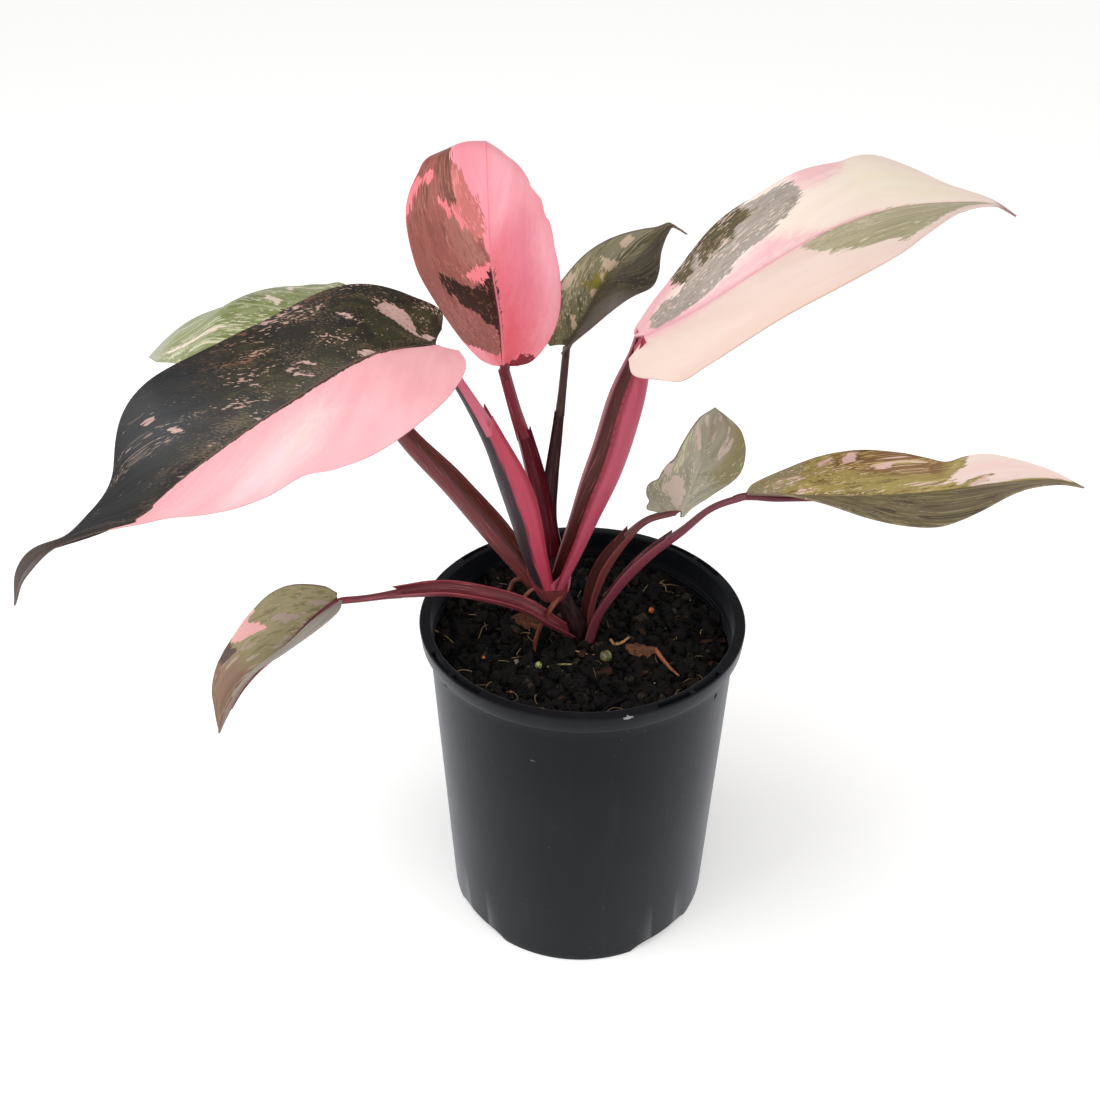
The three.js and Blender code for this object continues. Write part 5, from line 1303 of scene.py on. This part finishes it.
# %% Stem and root finishes
def skin_material(name, colour, pale, roughness, streak_width=0.6):
    """Plant skin: a colour with paler fibres along it and fine ridges."""
    material, tree, shader = new_material(name, roughness, coat=0.02, specular=0.3)
    lines = fibre_lines(tree, attribute(tree, "fibre", "Vector"), 9.0, streak_width, 4.0)
    tint = blend_colour(tree, smooth_step(tree, lines, 0.42, 0.68), rgb(*colour), rgb(*pale))
    blotch = cloud_noise(tree, add(tree, "TexCoord").outputs["Object"], 260.0, 3.0)
    shadow = smooth_step(tree, blotch, 0.5, 0.36)
    tint = paint(tree, tint, rgb(*(c * 0.45 for c in colour)), shadow, 0.55)
    surface(tree, shader, tint, varied(tree, roughness - 0.08, lines, 0.2))
    bump(tree, shader, plus(tree, lines, blotch), 0.3, 0.8)
    return material


STEM_SKIN = skin_material("stem_skin", (34, 18, 22), (72, 34, 40), 0.5, 0.9)
ROOT_SKIN = skin_material("root_skin", (104, 46, 36), (156, 88, 66), 0.6)

# %% Stem
STEM_PATH = [[0, 1, 132], [-1.5, 0.5, 142], [-5.5, -0.5, 154], [-11, 0.5, 166], [-14, 4.6, 177]]
STEM_RADII = [4.0, 4.0, 4.1, 4.75, 4.1, 3.95, 4.0, 4.7, 4.05, 4.0, 3.9]
stem = strand("stem", STEM_PATH, STEM_RADII, sides=36, rings=70, wobble=0.06)
finish(stem, STEM_SKIN, "stem", "main_stem")

# %% Crown collars
COLLARS = {
    "b": dict(middle=(-14.5, -1.5), turn=(128, 352), low=164.0, radius=(4.6, 8.4),
              top=[[0, 182], [0.35, 174], [0.62, 170.5], [0.85, 172], [1, 176]]),
    "e": dict(middle=(-13.0, -2.0), turn=(205, 390), low=167.5, radius=(4.2, 7.2),
              top=[[0, 175], [0.3, 174], [0.6, 178], [0.85, 183], [1, 184]]),
}


def build_collar(letter):
    collar = COLLARS[letter]

    def place(across, along):
        angle = np.radians(collar["turn"][0] + (collar["turn"][1] - collar["turn"][0]) * across)
        top = value_at(collar["top"], across)
        radius = collar["radius"][0] + (collar["radius"][1] - collar["radius"][0]) * np.sqrt(along)
        radius = radius + 0.5 * along * np.sin(across * 9)
        drop = 1.5 * (1 - along) * np.cos(np.pi * (across - 0.5))
        return np.stack([collar["middle"][0] + radius * np.cos(angle) + 2.2 * (1 - along),
                         collar["middle"][1] + radius * np.sin(angle),
                         collar["low"] - drop + (top - collar["low"]) * along], -1)

    def keep(across, along):
        return {"fibre": np.stack([across * 34, along * 9, np.full_like(along, 2.0)], -1),
                "section": np.stack([np.full_like(along, 0.8), np.zeros_like(along),
                                     0.5 * along], -1)}

    piece = shaped_grid(f"collar_{letter}", 48, 12, place, keep)
    thicken(piece, 1.0)
    smooth(piece, 60)
    return finish(piece, petiole_finish[letter], f"petiole_{letter}")


for letter in COLLARS:
    build_collar(letter)

# %% Aerial roots
ROOTS = [
    ([[-9, -7, 167.5], [-12.5, -9.6, 163.5], [-16, -11, 157], [-18.5, -10.5, 151], [-20, -10, 145],
      [-20.5, -9.5, 139.5]], [1.3, 1.1, 1.0, 0.95, 0.7]),
    ([[-20, -2.5, 167.5], [-24, -2, 163], [-25.5, -2, 157], [-24.5, -2, 150]], [1.1, 0.9, 0.8, 0.5]),
    ([[-25, 5, 168], [-29, 5, 166], [-31.5, 5, 161], [-33, 5, 157]], [1.2, 1.0, 0.85, 0.6]),
]
for number, (points, radii) in enumerate(ROOTS, 1):
    root = strand(f"root_{number}", points, radii, sides=14, rings=48,
                  wobble=0.35, seed=number * 2.3)
    finish(root, ROOT_SKIN, "root", f"aerial_root_{number}")

# %% [markdown]
# ## The pot
# A nursery pot is injection moulded in thin plastic: a tapered wall, a lip at the rim with pairs of
# slots for a wire hanger, fine rings inside and arched recesses at the foot that let water out. Its
# profile is drawn point by point with extrude and spun round. The slots are faces of the rim pushed
# down, and the recesses are made by lifting the foot's edge.

# %% Pot profile
POT_HEIGHT, NECK_HEIGHT = 153.0, 145.6
POT_STEPS = 192
SLOT_INNER, SLOT_OUTER, SLOT_DEPTH = 66.9, 69.1, 3.0
FOOT_INNER = 52.6


def corner(before, at, after, radius, steps=4):
    """A corner of a profile, rounded off."""
    before, at, after = (np.array(p, float) for p in (before, at, after))
    start = at + (before - at) / np.linalg.norm(before - at) * radius
    end = at + (after - at) / np.linalg.norm(after - at) * radius
    return [tuple((1 - t) ** 2 * start + 2 * t * (1 - t) * at + t**2 * end)
            for t in np.linspace(0, 1, steps + 1)]


inner_rings = []
for z in np.arange(143.0, 121.0, -2.2):
    wall = 64.8 - (NECK_HEIGHT - z) * 0.0394
    inner_rings += [(wall, z), (wall - 0.35, z - 0.5), (wall - 0.35, z - 1.1), (wall, z - 1.6)]
pot_profile = [
    (0.0, 0.0), (FOOT_INNER, 0.0), (FOOT_INNER + 0.2, 0.0), (56.5, 0.0),
    *corner((56.5, 0.0), (60.6, 0.0), (60.8, 6.0), 0.9),
    (60.75, 4.0), (61.8, 30.0), (62.9, 60.0), (64.1, 90.0), (65.2, 120.0), (65.9, 138.0),
    *corner((65.9, 138.0), (66.2, NECK_HEIGHT), (69.3, NECK_HEIGHT), 0.5, 2),
    *corner((66.2, NECK_HEIGHT), (69.3, NECK_HEIGHT), (70.0, POT_HEIGHT), 0.5, 2),
    *corner((69.3, NECK_HEIGHT), (70.0, POT_HEIGHT), (65.2, POT_HEIGHT), 0.85),
    (SLOT_OUTER, POT_HEIGHT), (SLOT_INNER, POT_HEIGHT),
    *corner((70.0, POT_HEIGHT), (65.2, POT_HEIGHT), (64.8, NECK_HEIGHT), 0.7, 3),
    (64.8, NECK_HEIGHT), *inner_rings, (62.5, 90.0), (59.4, 8.0),
    *corner((59.4, 8.0), (59.2, 3.0), (0.0, 3.0), 1.0, 2), (30.0, 3.0), (0.0, 3.0),
]

# %% Spin the pot
deselect_all()
bpy.ops.mesh.primitive_plane_add(size=0.001)
pot = bpy.context.object
pot.name = "nursery_pot"
edit_all()
bpy.ops.mesh.merge(type="CENTER")
bpy.ops.transform.translate(value=(pot_profile[0][0] * MM, 0, pot_profile[0][1] * MM))
for (r0, z0), (r1, z1) in zip(pot_profile, pot_profile[1:]):
    step = ((r1 - r0) * MM, 0, (z1 - z0) * MM)
    bpy.ops.mesh.extrude_region_move(TRANSFORM_OT_translate={"value": step})
bpy.ops.mesh.select_all(action="SELECT")
bpy.ops.mesh.spin(steps=POT_STEPS, angle=math.tau, center=(0, 0, 0), axis=(0, 0, 1))
bpy.ops.mesh.select_all(action="SELECT")
bpy.ops.mesh.remove_doubles(threshold=5e-6)
bpy.ops.mesh.normals_make_consistent(inside=False)

# %% Push the hanger slots into the rim
SLOT_MIDDLE, SLOT_SPAN, SLOT_BRIDGE = 38.5, 13.5, 1.8
bpy.ops.mesh.select_all(action="DESELECT")
bpy.ops.mesh.select_mode(type="FACE")
shape = bmesh.from_edit_mesh(pot.data)
slot_faces = 0
for face in shape.faces:
    centre = face.calc_center_median() / MM
    radius = math.hypot(centre.x, centre.y)
    angle = (math.degrees(math.atan2(centre.y, centre.x)) - SLOT_MIDDLE + 45) % 90 - 45
    on_rim = centre.z > POT_HEIGHT - 0.05 and SLOT_INNER < radius < SLOT_OUTER
    if on_rim and SLOT_BRIDGE < abs(angle) < SLOT_SPAN:
        face.select_set(True)
        slot_faces += 1
bmesh.update_edit_mesh(pot.data)
print("slot faces", slot_faces)
bpy.ops.mesh.extrude_region_move(TRANSFORM_OT_translate={"value": (0, 0, -SLOT_DEPTH * MM)})
leave_edit()

# %% Lift the foot into drain arches
DRAIN_MIDDLE, DRAIN_HALF, DRAIN_HEIGHT = 39.0, 16.0, 3.0
points = read_mm(pot)
radius = np.hypot(points[:, 0], points[:, 1])
angle = (np.degrees(np.arctan2(points[:, 1], points[:, 0])) - DRAIN_MIDDLE + 45) % 90 - 45
arch = np.clip(1 - (np.abs(angle) / DRAIN_HALF) ** 5, 0, 1) * DRAIN_HEIGHT
foot = (points[:, 2] < 1.2) & (radius > FOOT_INNER + 0.1)
points[:, 2] += np.where(foot, arch, 0)
write_mm(pot, points)
# Marks the inside of the pot, which the finish paints darker as shade.
hold(pot, "shaded_inside", (radius < 60.0 + 0.0386 * points[:, 2]) & (points[:, 2] > 2.8))
smooth(pot, 35)
print("pot faces", len(pot.data.polygons))

# %% [markdown]
# ### Plastic
# The plastic is charcoal and half matt. Moulding and handling leave it faintly streaked, with dust,
# a few specks, a scratch and a whitish scuff on the rim, so roughness and colour vary a little.

# %% Pot finish
def scuff(tree, vector, middle, size, breakup):
    """A worn spot round a point, torn at its edge."""
    away = add(tree, "VectorMath", {0: vector, 1: middle}, operation="DISTANCE").outputs["Value"]
    reach = times(tree, cloud_noise(tree, vector, breakup, 5.0), size * 2.2)
    return smooth_step(tree, minus(tree, reach, away), 0.0, size * 0.25)


plastic, tree, shader = new_material("pot_plastic", 0.4, specular=0.12)
shader.inputs["Sheen Weight"].default_value = 0.3
shader.inputs["Sheen Roughness"].default_value = 0.32
shader.inputs["Sheen Tint"].default_value = (0.86, 0.9, 1.0, 1.0)
where = add(tree, "TexCoord").outputs["Object"]
drawn_out = add(tree, "Mapping", {"Vector": where, "Scale": (150.0, 150.0, 9.0)}).outputs[0]
streaky = cloud_noise(tree, drawn_out, 1.0, 4.0)
cloudy = cloud_noise(tree, where, 22.0, 4.0)
colour = blend_colour(tree, smooth_step(tree, cloudy, 0.35, 0.7), rgb(11, 13, 17), rgb(17, 19, 23))
colour = paint(tree, colour, rgb(34, 36, 40), smooth_step(tree, streaky, 0.55, 0.8), 0.35)
# Painted shade: the inside of the pot is a little darker.
colour = paint(tree, colour, rgb(10, 12, 16), attribute(tree, "shaded_inside"), 0.85)
dust = use(tree, SPOTS, {"Vector": where, "Scale": 420.0, "Size": 0.11, "Share": 0.05})["Mask"]
colour = paint(tree, colour, rgb(96, 94, 90), dust, 0.7)
pits = use(tree, SPOTS, {"Vector": where, "Scale": 330.0, "Size": 0.12, "Share": 0.02})["Mask"]
colour = paint(tree, colour, rgb(10, 10, 12), pits)
flat_scuff = add(tree, "Mapping", {"Vector": where, "Scale": (0.55, 1.0, 1.7)}).outputs[0]
worn = scuff(tree, flat_scuff, (0.0164 * 0.55, -0.0679, 0.1522 * 1.7), 0.0011, 1300.0)
colour = paint(tree, colour, rgb(150, 150, 150), worn, 0.8)
ring = scuff(tree, flat_scuff, (-0.0213 * 0.55, -0.0622, 0.1244 * 1.7), 0.0007, 1800.0)
colour = paint(tree, colour, rgb(110, 112, 116), ring, 0.6)
surface(tree, shader, colour, varied(tree, varied(tree, 0.3, cloudy, 0.16), worn, 0.25))
moulding = cloud_noise(tree, where, 900.0, 2.0)
bump(tree, shader, plus(tree, moulding, streaky), 0.06, 0.6)
finish(pot, plastic, "pot_plastic", "pot")

# %% [markdown]
# ## Potting mix
# The mix is bark fines and peat, nearly black when moist. A lumpy bed fills the pot, and over four
# thousand small crumbs lie on it. One crumb is modelled from a cube, and each copy is turned,
# stretched and dented in its own way. A number held on each copy varies its colour.

# %% Bed
MIX_LEVEL, MIX_SLOPE, MIX_LUMP = 139.3, 0.03, 0.9
BED_RADIUS = 64.0


def mix_height(x, y):
    lumps = np.sin(0.2 * x + 1) * np.cos(0.17 * y) + 0.6 * np.sin(0.33 * x - 0.27 * y)
    return MIX_LEVEL - MIX_SLOPE * x + MIX_LUMP * lumps


def place_bed(across, along):
    """Up the axis, out over the top, down the side and back under."""
    turn = across * math.tau
    top = np.clip(along / 0.7, 0, 1)
    side = np.clip((along - 0.7) / 0.15, 0, 1)
    under = np.clip((along - 0.85) / 0.15, 0, 1)
    radius = (BED_RADIUS * top - 4.9 * side) * (1 - under)
    x, y = radius * np.cos(turn), radius * np.sin(turn)
    grit = np.array([noise.fractal(Vector((px * 0.3, py * 0.3, 2.0)), 1.0, 2.0, 4)
                     for px, py in zip(x, y)])
    z = mix_height(x, y) - 1.0 + 1.3 * np.clip(grit, -0.8, 0.8)
    return np.stack([x, y, z * (1 - side) + 4.2 * side], -1)


bed = shaped_grid("mix_bed", 180, 110, place_bed, tube=True)
smooth(bed, 180)

# %% Crumbs
CRUMB_SPREAD, CRUMB_DENTS, CRUMB_STRETCH = 63.0, 0.2, 0.3
rng = np.random.default_rng(7)


def scatter_crumbs(name, count, sizes, flatness=1.0, sink=0.25):
    """A crumb and its many copies on the mix, each turned, stretched and dented."""
    deselect_all()
    bpy.ops.mesh.primitive_cube_add(size=2.0)
    piece = bpy.context.object
    piece.name = name
    edit_all()
    bpy.ops.mesh.subdivide(number_cuts=1)
    bpy.ops.transform.tosphere(value=0.75)
    leave_edit()
    model = read_mm(piece) * MM
    copies = piece.modifiers.new("copies", "ARRAY")
    copies.count = count
    bpy.ops.object.modifier_apply(modifier=copies.name)
    radius = CRUMB_SPREAD * np.sqrt(rng.random(count))
    turn = rng.random(count) * math.tau
    scale = sizes[0] + (sizes[1] - sizes[0]) * rng.random(count) ** 2.4
    places = []
    for r, a, size in zip(radius, turn, scale):
        own = model * (1 + CRUMB_DENTS * rng.standard_normal((len(model), 1)))
        own = own * (size / 2 * (1 + CRUMB_STRETCH * rng.standard_normal(3)).clip(0.5, 1.9))
        own[:, 2] *= flatness
        axes, _ = np.linalg.qr(rng.standard_normal((3, 3)))
        axes *= np.sign(np.linalg.det(axes))
        tilt = axes if flatness == 1.0 else np.eye(3) * 0.8 + axes * 0.2
        x, y = r * math.cos(a), r * math.sin(a)
        rng.random()  # keeps the draws of the next crumbs as they are
        places.append(own @ tilt.T + [x, y, mix_height(x, y) - 0.6 + size * sink])
    write_mm(piece, np.vstack(places))
    hold(piece, "shade", np.repeat(rng.random(count), len(model)))
    smooth(piece, 50)
    return piece


crumbs = scatter_crumbs("mix_crumbs", 4200, (0.7, 4.0))
print("crumbs", len(crumbs.data.polygons))


# %% Mix finish
def mix_material(name, deep, warm, pale):
    material, tree, shader = new_material(name, 0.85, specular=0.2)
    where = add(tree, "TexCoord").outputs["Object"]
    shade = attribute(tree, "shade")
    grit = cloud_noise(tree, where, 700.0, 5.0)
    value = varied(tree, shade, grit, 0.25)
    colour = blend_colour(tree, smooth_step(tree, value, 0.1, 0.75), rgb(*deep), rgb(*warm))
    colour = paint(tree, colour, rgb(*pale), smooth_step(tree, value, 1.06, 1.12))
    mineral = use(tree, SPOTS, {"Vector": where, "Scale": 420.0, "Size": 0.12,
                                "Share": 0.03})["Mask"]
    colour = paint(tree, colour, rgb(150, 140, 120), mineral, 0.7)
    surface(tree, shader, colour, varied(tree, 0.6, grit, 0.4))
    bump(tree, shader, grit, 0.6, 1.0)
    return material


DARK_MIX = mix_material("potting_mix", (5, 4, 4), (14, 12, 10), (56, 48, 40))
hold(bed, "shade", np.full(len(bed.data.vertices), 0.25))
finish(bed, DARK_MIX, "potting_mix", "potting_mix")
finish(crumbs, DARK_MIX, "potting_mix")

# %% [markdown]
# ## Litter on the mix
# A few fertiliser prills, dead leaf bits, twigs, straws and fine fibres lie on the mix. They are
# small, but they give the eye its scale.

# %% Bark chips and pale grit
chips = scatter_crumbs("bark_chips", 46, (2.0, 5.0), 0.35, sink=0.42)
finish(chips, mix_material("bark", (28, 18, 13), (54, 32, 22), (92, 58, 40)), "potting_mix")
grit = scatter_crumbs("pale_grit", 26, (0.7, 1.7), 1.0, sink=0.8)
finish(grit, mix_material("grit", (92, 90, 78), (150, 146, 130), (198, 190, 170)), "potting_mix")

# %% Prills
PRILLS = [(10, -17, 2.6, (118, 114, 64)), (-18.5, -23, 1.6, (164, 172, 96)),
          (32, 20, 1.4, (206, 104, 38)), (-42, -18, 1.0, (206, 112, 40))]


def prill_material(name, colour):
    material, tree, shader = new_material(name, 0.4, coat=0.3)
    where = add(tree, "TexCoord").outputs["Object"]
    blotch = cloud_noise(tree, where, 600.0, 4.0)
    tint = blend_colour(tree, smooth_step(tree, blotch, 0.4, 0.65), rgb(*colour),
                        rgb(*(c * 0.55 for c in colour)))
    surface(tree, shader, tint, varied(tree, 0.25, blotch, 0.4))
    bump(tree, shader, blotch, 0.25, 0.8)
    return material


for number, (x, y, size, colour) in enumerate(PRILLS, 1):
    low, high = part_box(f"prill_{number}")
    deselect_all()
    bpy.ops.mesh.primitive_ico_sphere_add(subdivisions=4, radius=1.0)
    prill = bpy.context.object
    prill.name = f"fertiliser_{number}"
    unit = read_mm(prill) * MM
    dents = np.array([noise.fractal(Vector(p) * 1.4 + Vector((number * 3.0, 0, 0)), 1.0, 2.0, 3)
                      for p in unit])
    middle = np.array((low + high) / 2) / MM
    write_mm(prill, middle + unit * (size * (1 + 0.06 * dents))[:, None])
    smooth(prill, 180)
    finish(prill, prill_material(f"prill_{number}", colour), "prill", f"prill_{number}")

# %% Dead leaves
DRY_SKIN = skin_material("dry_leaf", (92, 56, 38), (134, 84, 58), 0.8)
DRY_LEAVES = [
    dict(midrib=[[-33, 8], [-26, 9], [-19, 8], [-12, 6]],
         half=[[0, 2], [6, 5], [14, 5], [22, 0]], lift=1.6),
    dict(midrib=[[31, -12], [27, -12], [22.5, -11], [18.5, -10.5]],
         half=[[0, 1.5], [4, 4.5], [8, 4], [12.6, 0]], lift=2.2,
         stalk=[[31, -12, 3.4], [34, -17, 3.0], [37, -23, 2.6], [40, -28, 1.6]]),
]


def build_dry_leaf(number, leaf):
    rib = Line(leaf["midrib"])
    margin = Line(leaf["half"])
    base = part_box(f"dry_leaf_{number}")[0].z / MM

    def place(across, along):
        x = 2 * across - 1
        ragged = 1 + 0.18 * np.sin(along * 23 + x * 2)
        reach = np.maximum(margin.at(along * margin.length)[:, 1], 0.3) * ragged
        heading = rib.heading(along * rib.length)
        side = np.stack([-heading[:, 1], heading[:, 0]], -1)
        spot = rib.at(along * rib.length) + side * (x * reach)[:, None]
        curl = 1 - x**2 + 0.35 * np.sin(4 * along + 2 * x) + 0.12 * np.sin(19 * along + 6 * x)
        z = mix_height(spot[:, 0], spot[:, 1]) + leaf["lift"] * curl
        return np.column_stack([spot, z - z.min() + base + 0.4])

    def keep(across, along):
        return {"fibre": np.stack([across * 9, along * rib.length, np.zeros_like(along)], -1)}

    piece = shaped_grid(f"dead_leaf_{number}", 22, 44, place, keep)
    thicken(piece, 0.35)
    smooth(piece, 60)
    finish(piece, DRY_SKIN, "dry_leaf", f"dry_leaf_{number}")
    if "stalk" in leaf:
        path = [[x, y, mix_height(x, y) + up + 0.3] for x, y, up in leaf["stalk"]]
        stalk_piece = strand(f"dead_stalk_{number}", path, [1.0, 0.9, 0.7, 0.4],
                             wobble=0.3, seed=4.0)
        stalk_skin = skin_material("dead_stalk", (140, 78, 54), (178, 112, 78), 0.7)
        finish(stalk_piece, stalk_skin, "dry_leaf")


for number, leaf in enumerate(DRY_LEAVES, 1):
    build_dry_leaf(number, leaf)

# %% Twigs and fibres
TWIG_SKIN = skin_material("twig", (164, 112, 70), (204, 156, 104), 0.75)
STRAW_SKIN = skin_material("straw", (150, 134, 78), (196, 180, 126), 0.7)
FIBRE_SKIN = skin_material("fibre", (108, 88, 62), (168, 146, 110), 0.8)


def lying(points, rise=0.3):
    return [[x, y, mix_height(x, y) + up + rise] for x, y, up in points]


TWIGS = [
    ([[12.5, -4, 2.6], [14, -7, 2.0], [17, -8, 3.2], [20.5, -4, 3.6]], 0.7, TWIG_SKIN),
    ([[-15, -23.5, 0.5], [-10, -22, 0.9], [-4.5, -19.5, 0.5]], 0.45, STRAW_SKIN),
]
for number, (points, radius, skin) in enumerate(TWIGS, 1):
    twig = strand(f"litter_twig_{number}", lying(points), [radius, radius * 0.9, radius * 0.7],
                  sides=10, rings=36, wobble=0.35, seed=number * 5.1)
    finish(twig, skin, "twig", f"twig_{number}")

LOOSE_STRANDS = [
    ([[-64, 1, 0.6], [-59, -4, 0.8], [-55, -8, 0.5]], 0.3, STRAW_SKIN),
    ([[-9, -5.6, 0.8], [-4.4, -11, 1.0], [4.6, -12.6, 1.0], [10.3, -8.4, 0.8]], 0.26, TWIG_SKIN),
    ([[-30, -40, 0.5], [-29.4, -42, 1.8], [-30, -43, 2.6]], 0.5, ROOT_SKIN),
    ([[-45, -2, 0.6], [-43, 4, 2.2], [-41, 7, 0.6]], 0.22, FIBRE_SKIN),
]
for number in range(56):
    start = rng.uniform(-1, 1, 2)
    start = start / max(1.0, np.linalg.norm(start)) * 54
    way = rng.random() * math.tau
    length = rng.uniform(4, 11)
    curve = rng.uniform(-0.9, 0.9)
    points = [[start[0] + length * t * math.cos(way + curve * t),
               start[1] + length * t * math.sin(way + curve * t), 0.7 + 1.2 * math.sin(3 * t)]
              for t in (0.0, 0.35, 0.7, 1.0)]
    LOOSE_STRANDS.append((points, rng.uniform(0.1, 0.22), FIBRE_SKIN))
for number, (points, radius, skin) in enumerate(LOOSE_STRANDS, 1):
    fibre = strand(f"loose_fibre_{number}", lying(points), [radius, radius, radius * 0.6],
                   sides=6, rings=16, wobble=0.2, seed=number * 1.7)
    finish(fibre, skin, "twig")

# %% [markdown]
# ## Floor
# The plant stands on a plain pale floor, wide enough to fill the view.

# %% Floor
deselect_all()
bpy.ops.mesh.primitive_plane_add(size=16.0)
floor = bpy.context.object
floor.name = "floor"
paper, tree, shader = new_material("floor_paper", 0.9, specular=0.1)
shader.inputs["Base Color"].default_value = (0.93, 0.93, 0.93, 1.0)
shader.inputs["Emission Color"].default_value = (1.0, 1.0, 1.0, 1.0)
shader.inputs["Emission Strength"].default_value = 0.25
floor.data.materials.append(paper)
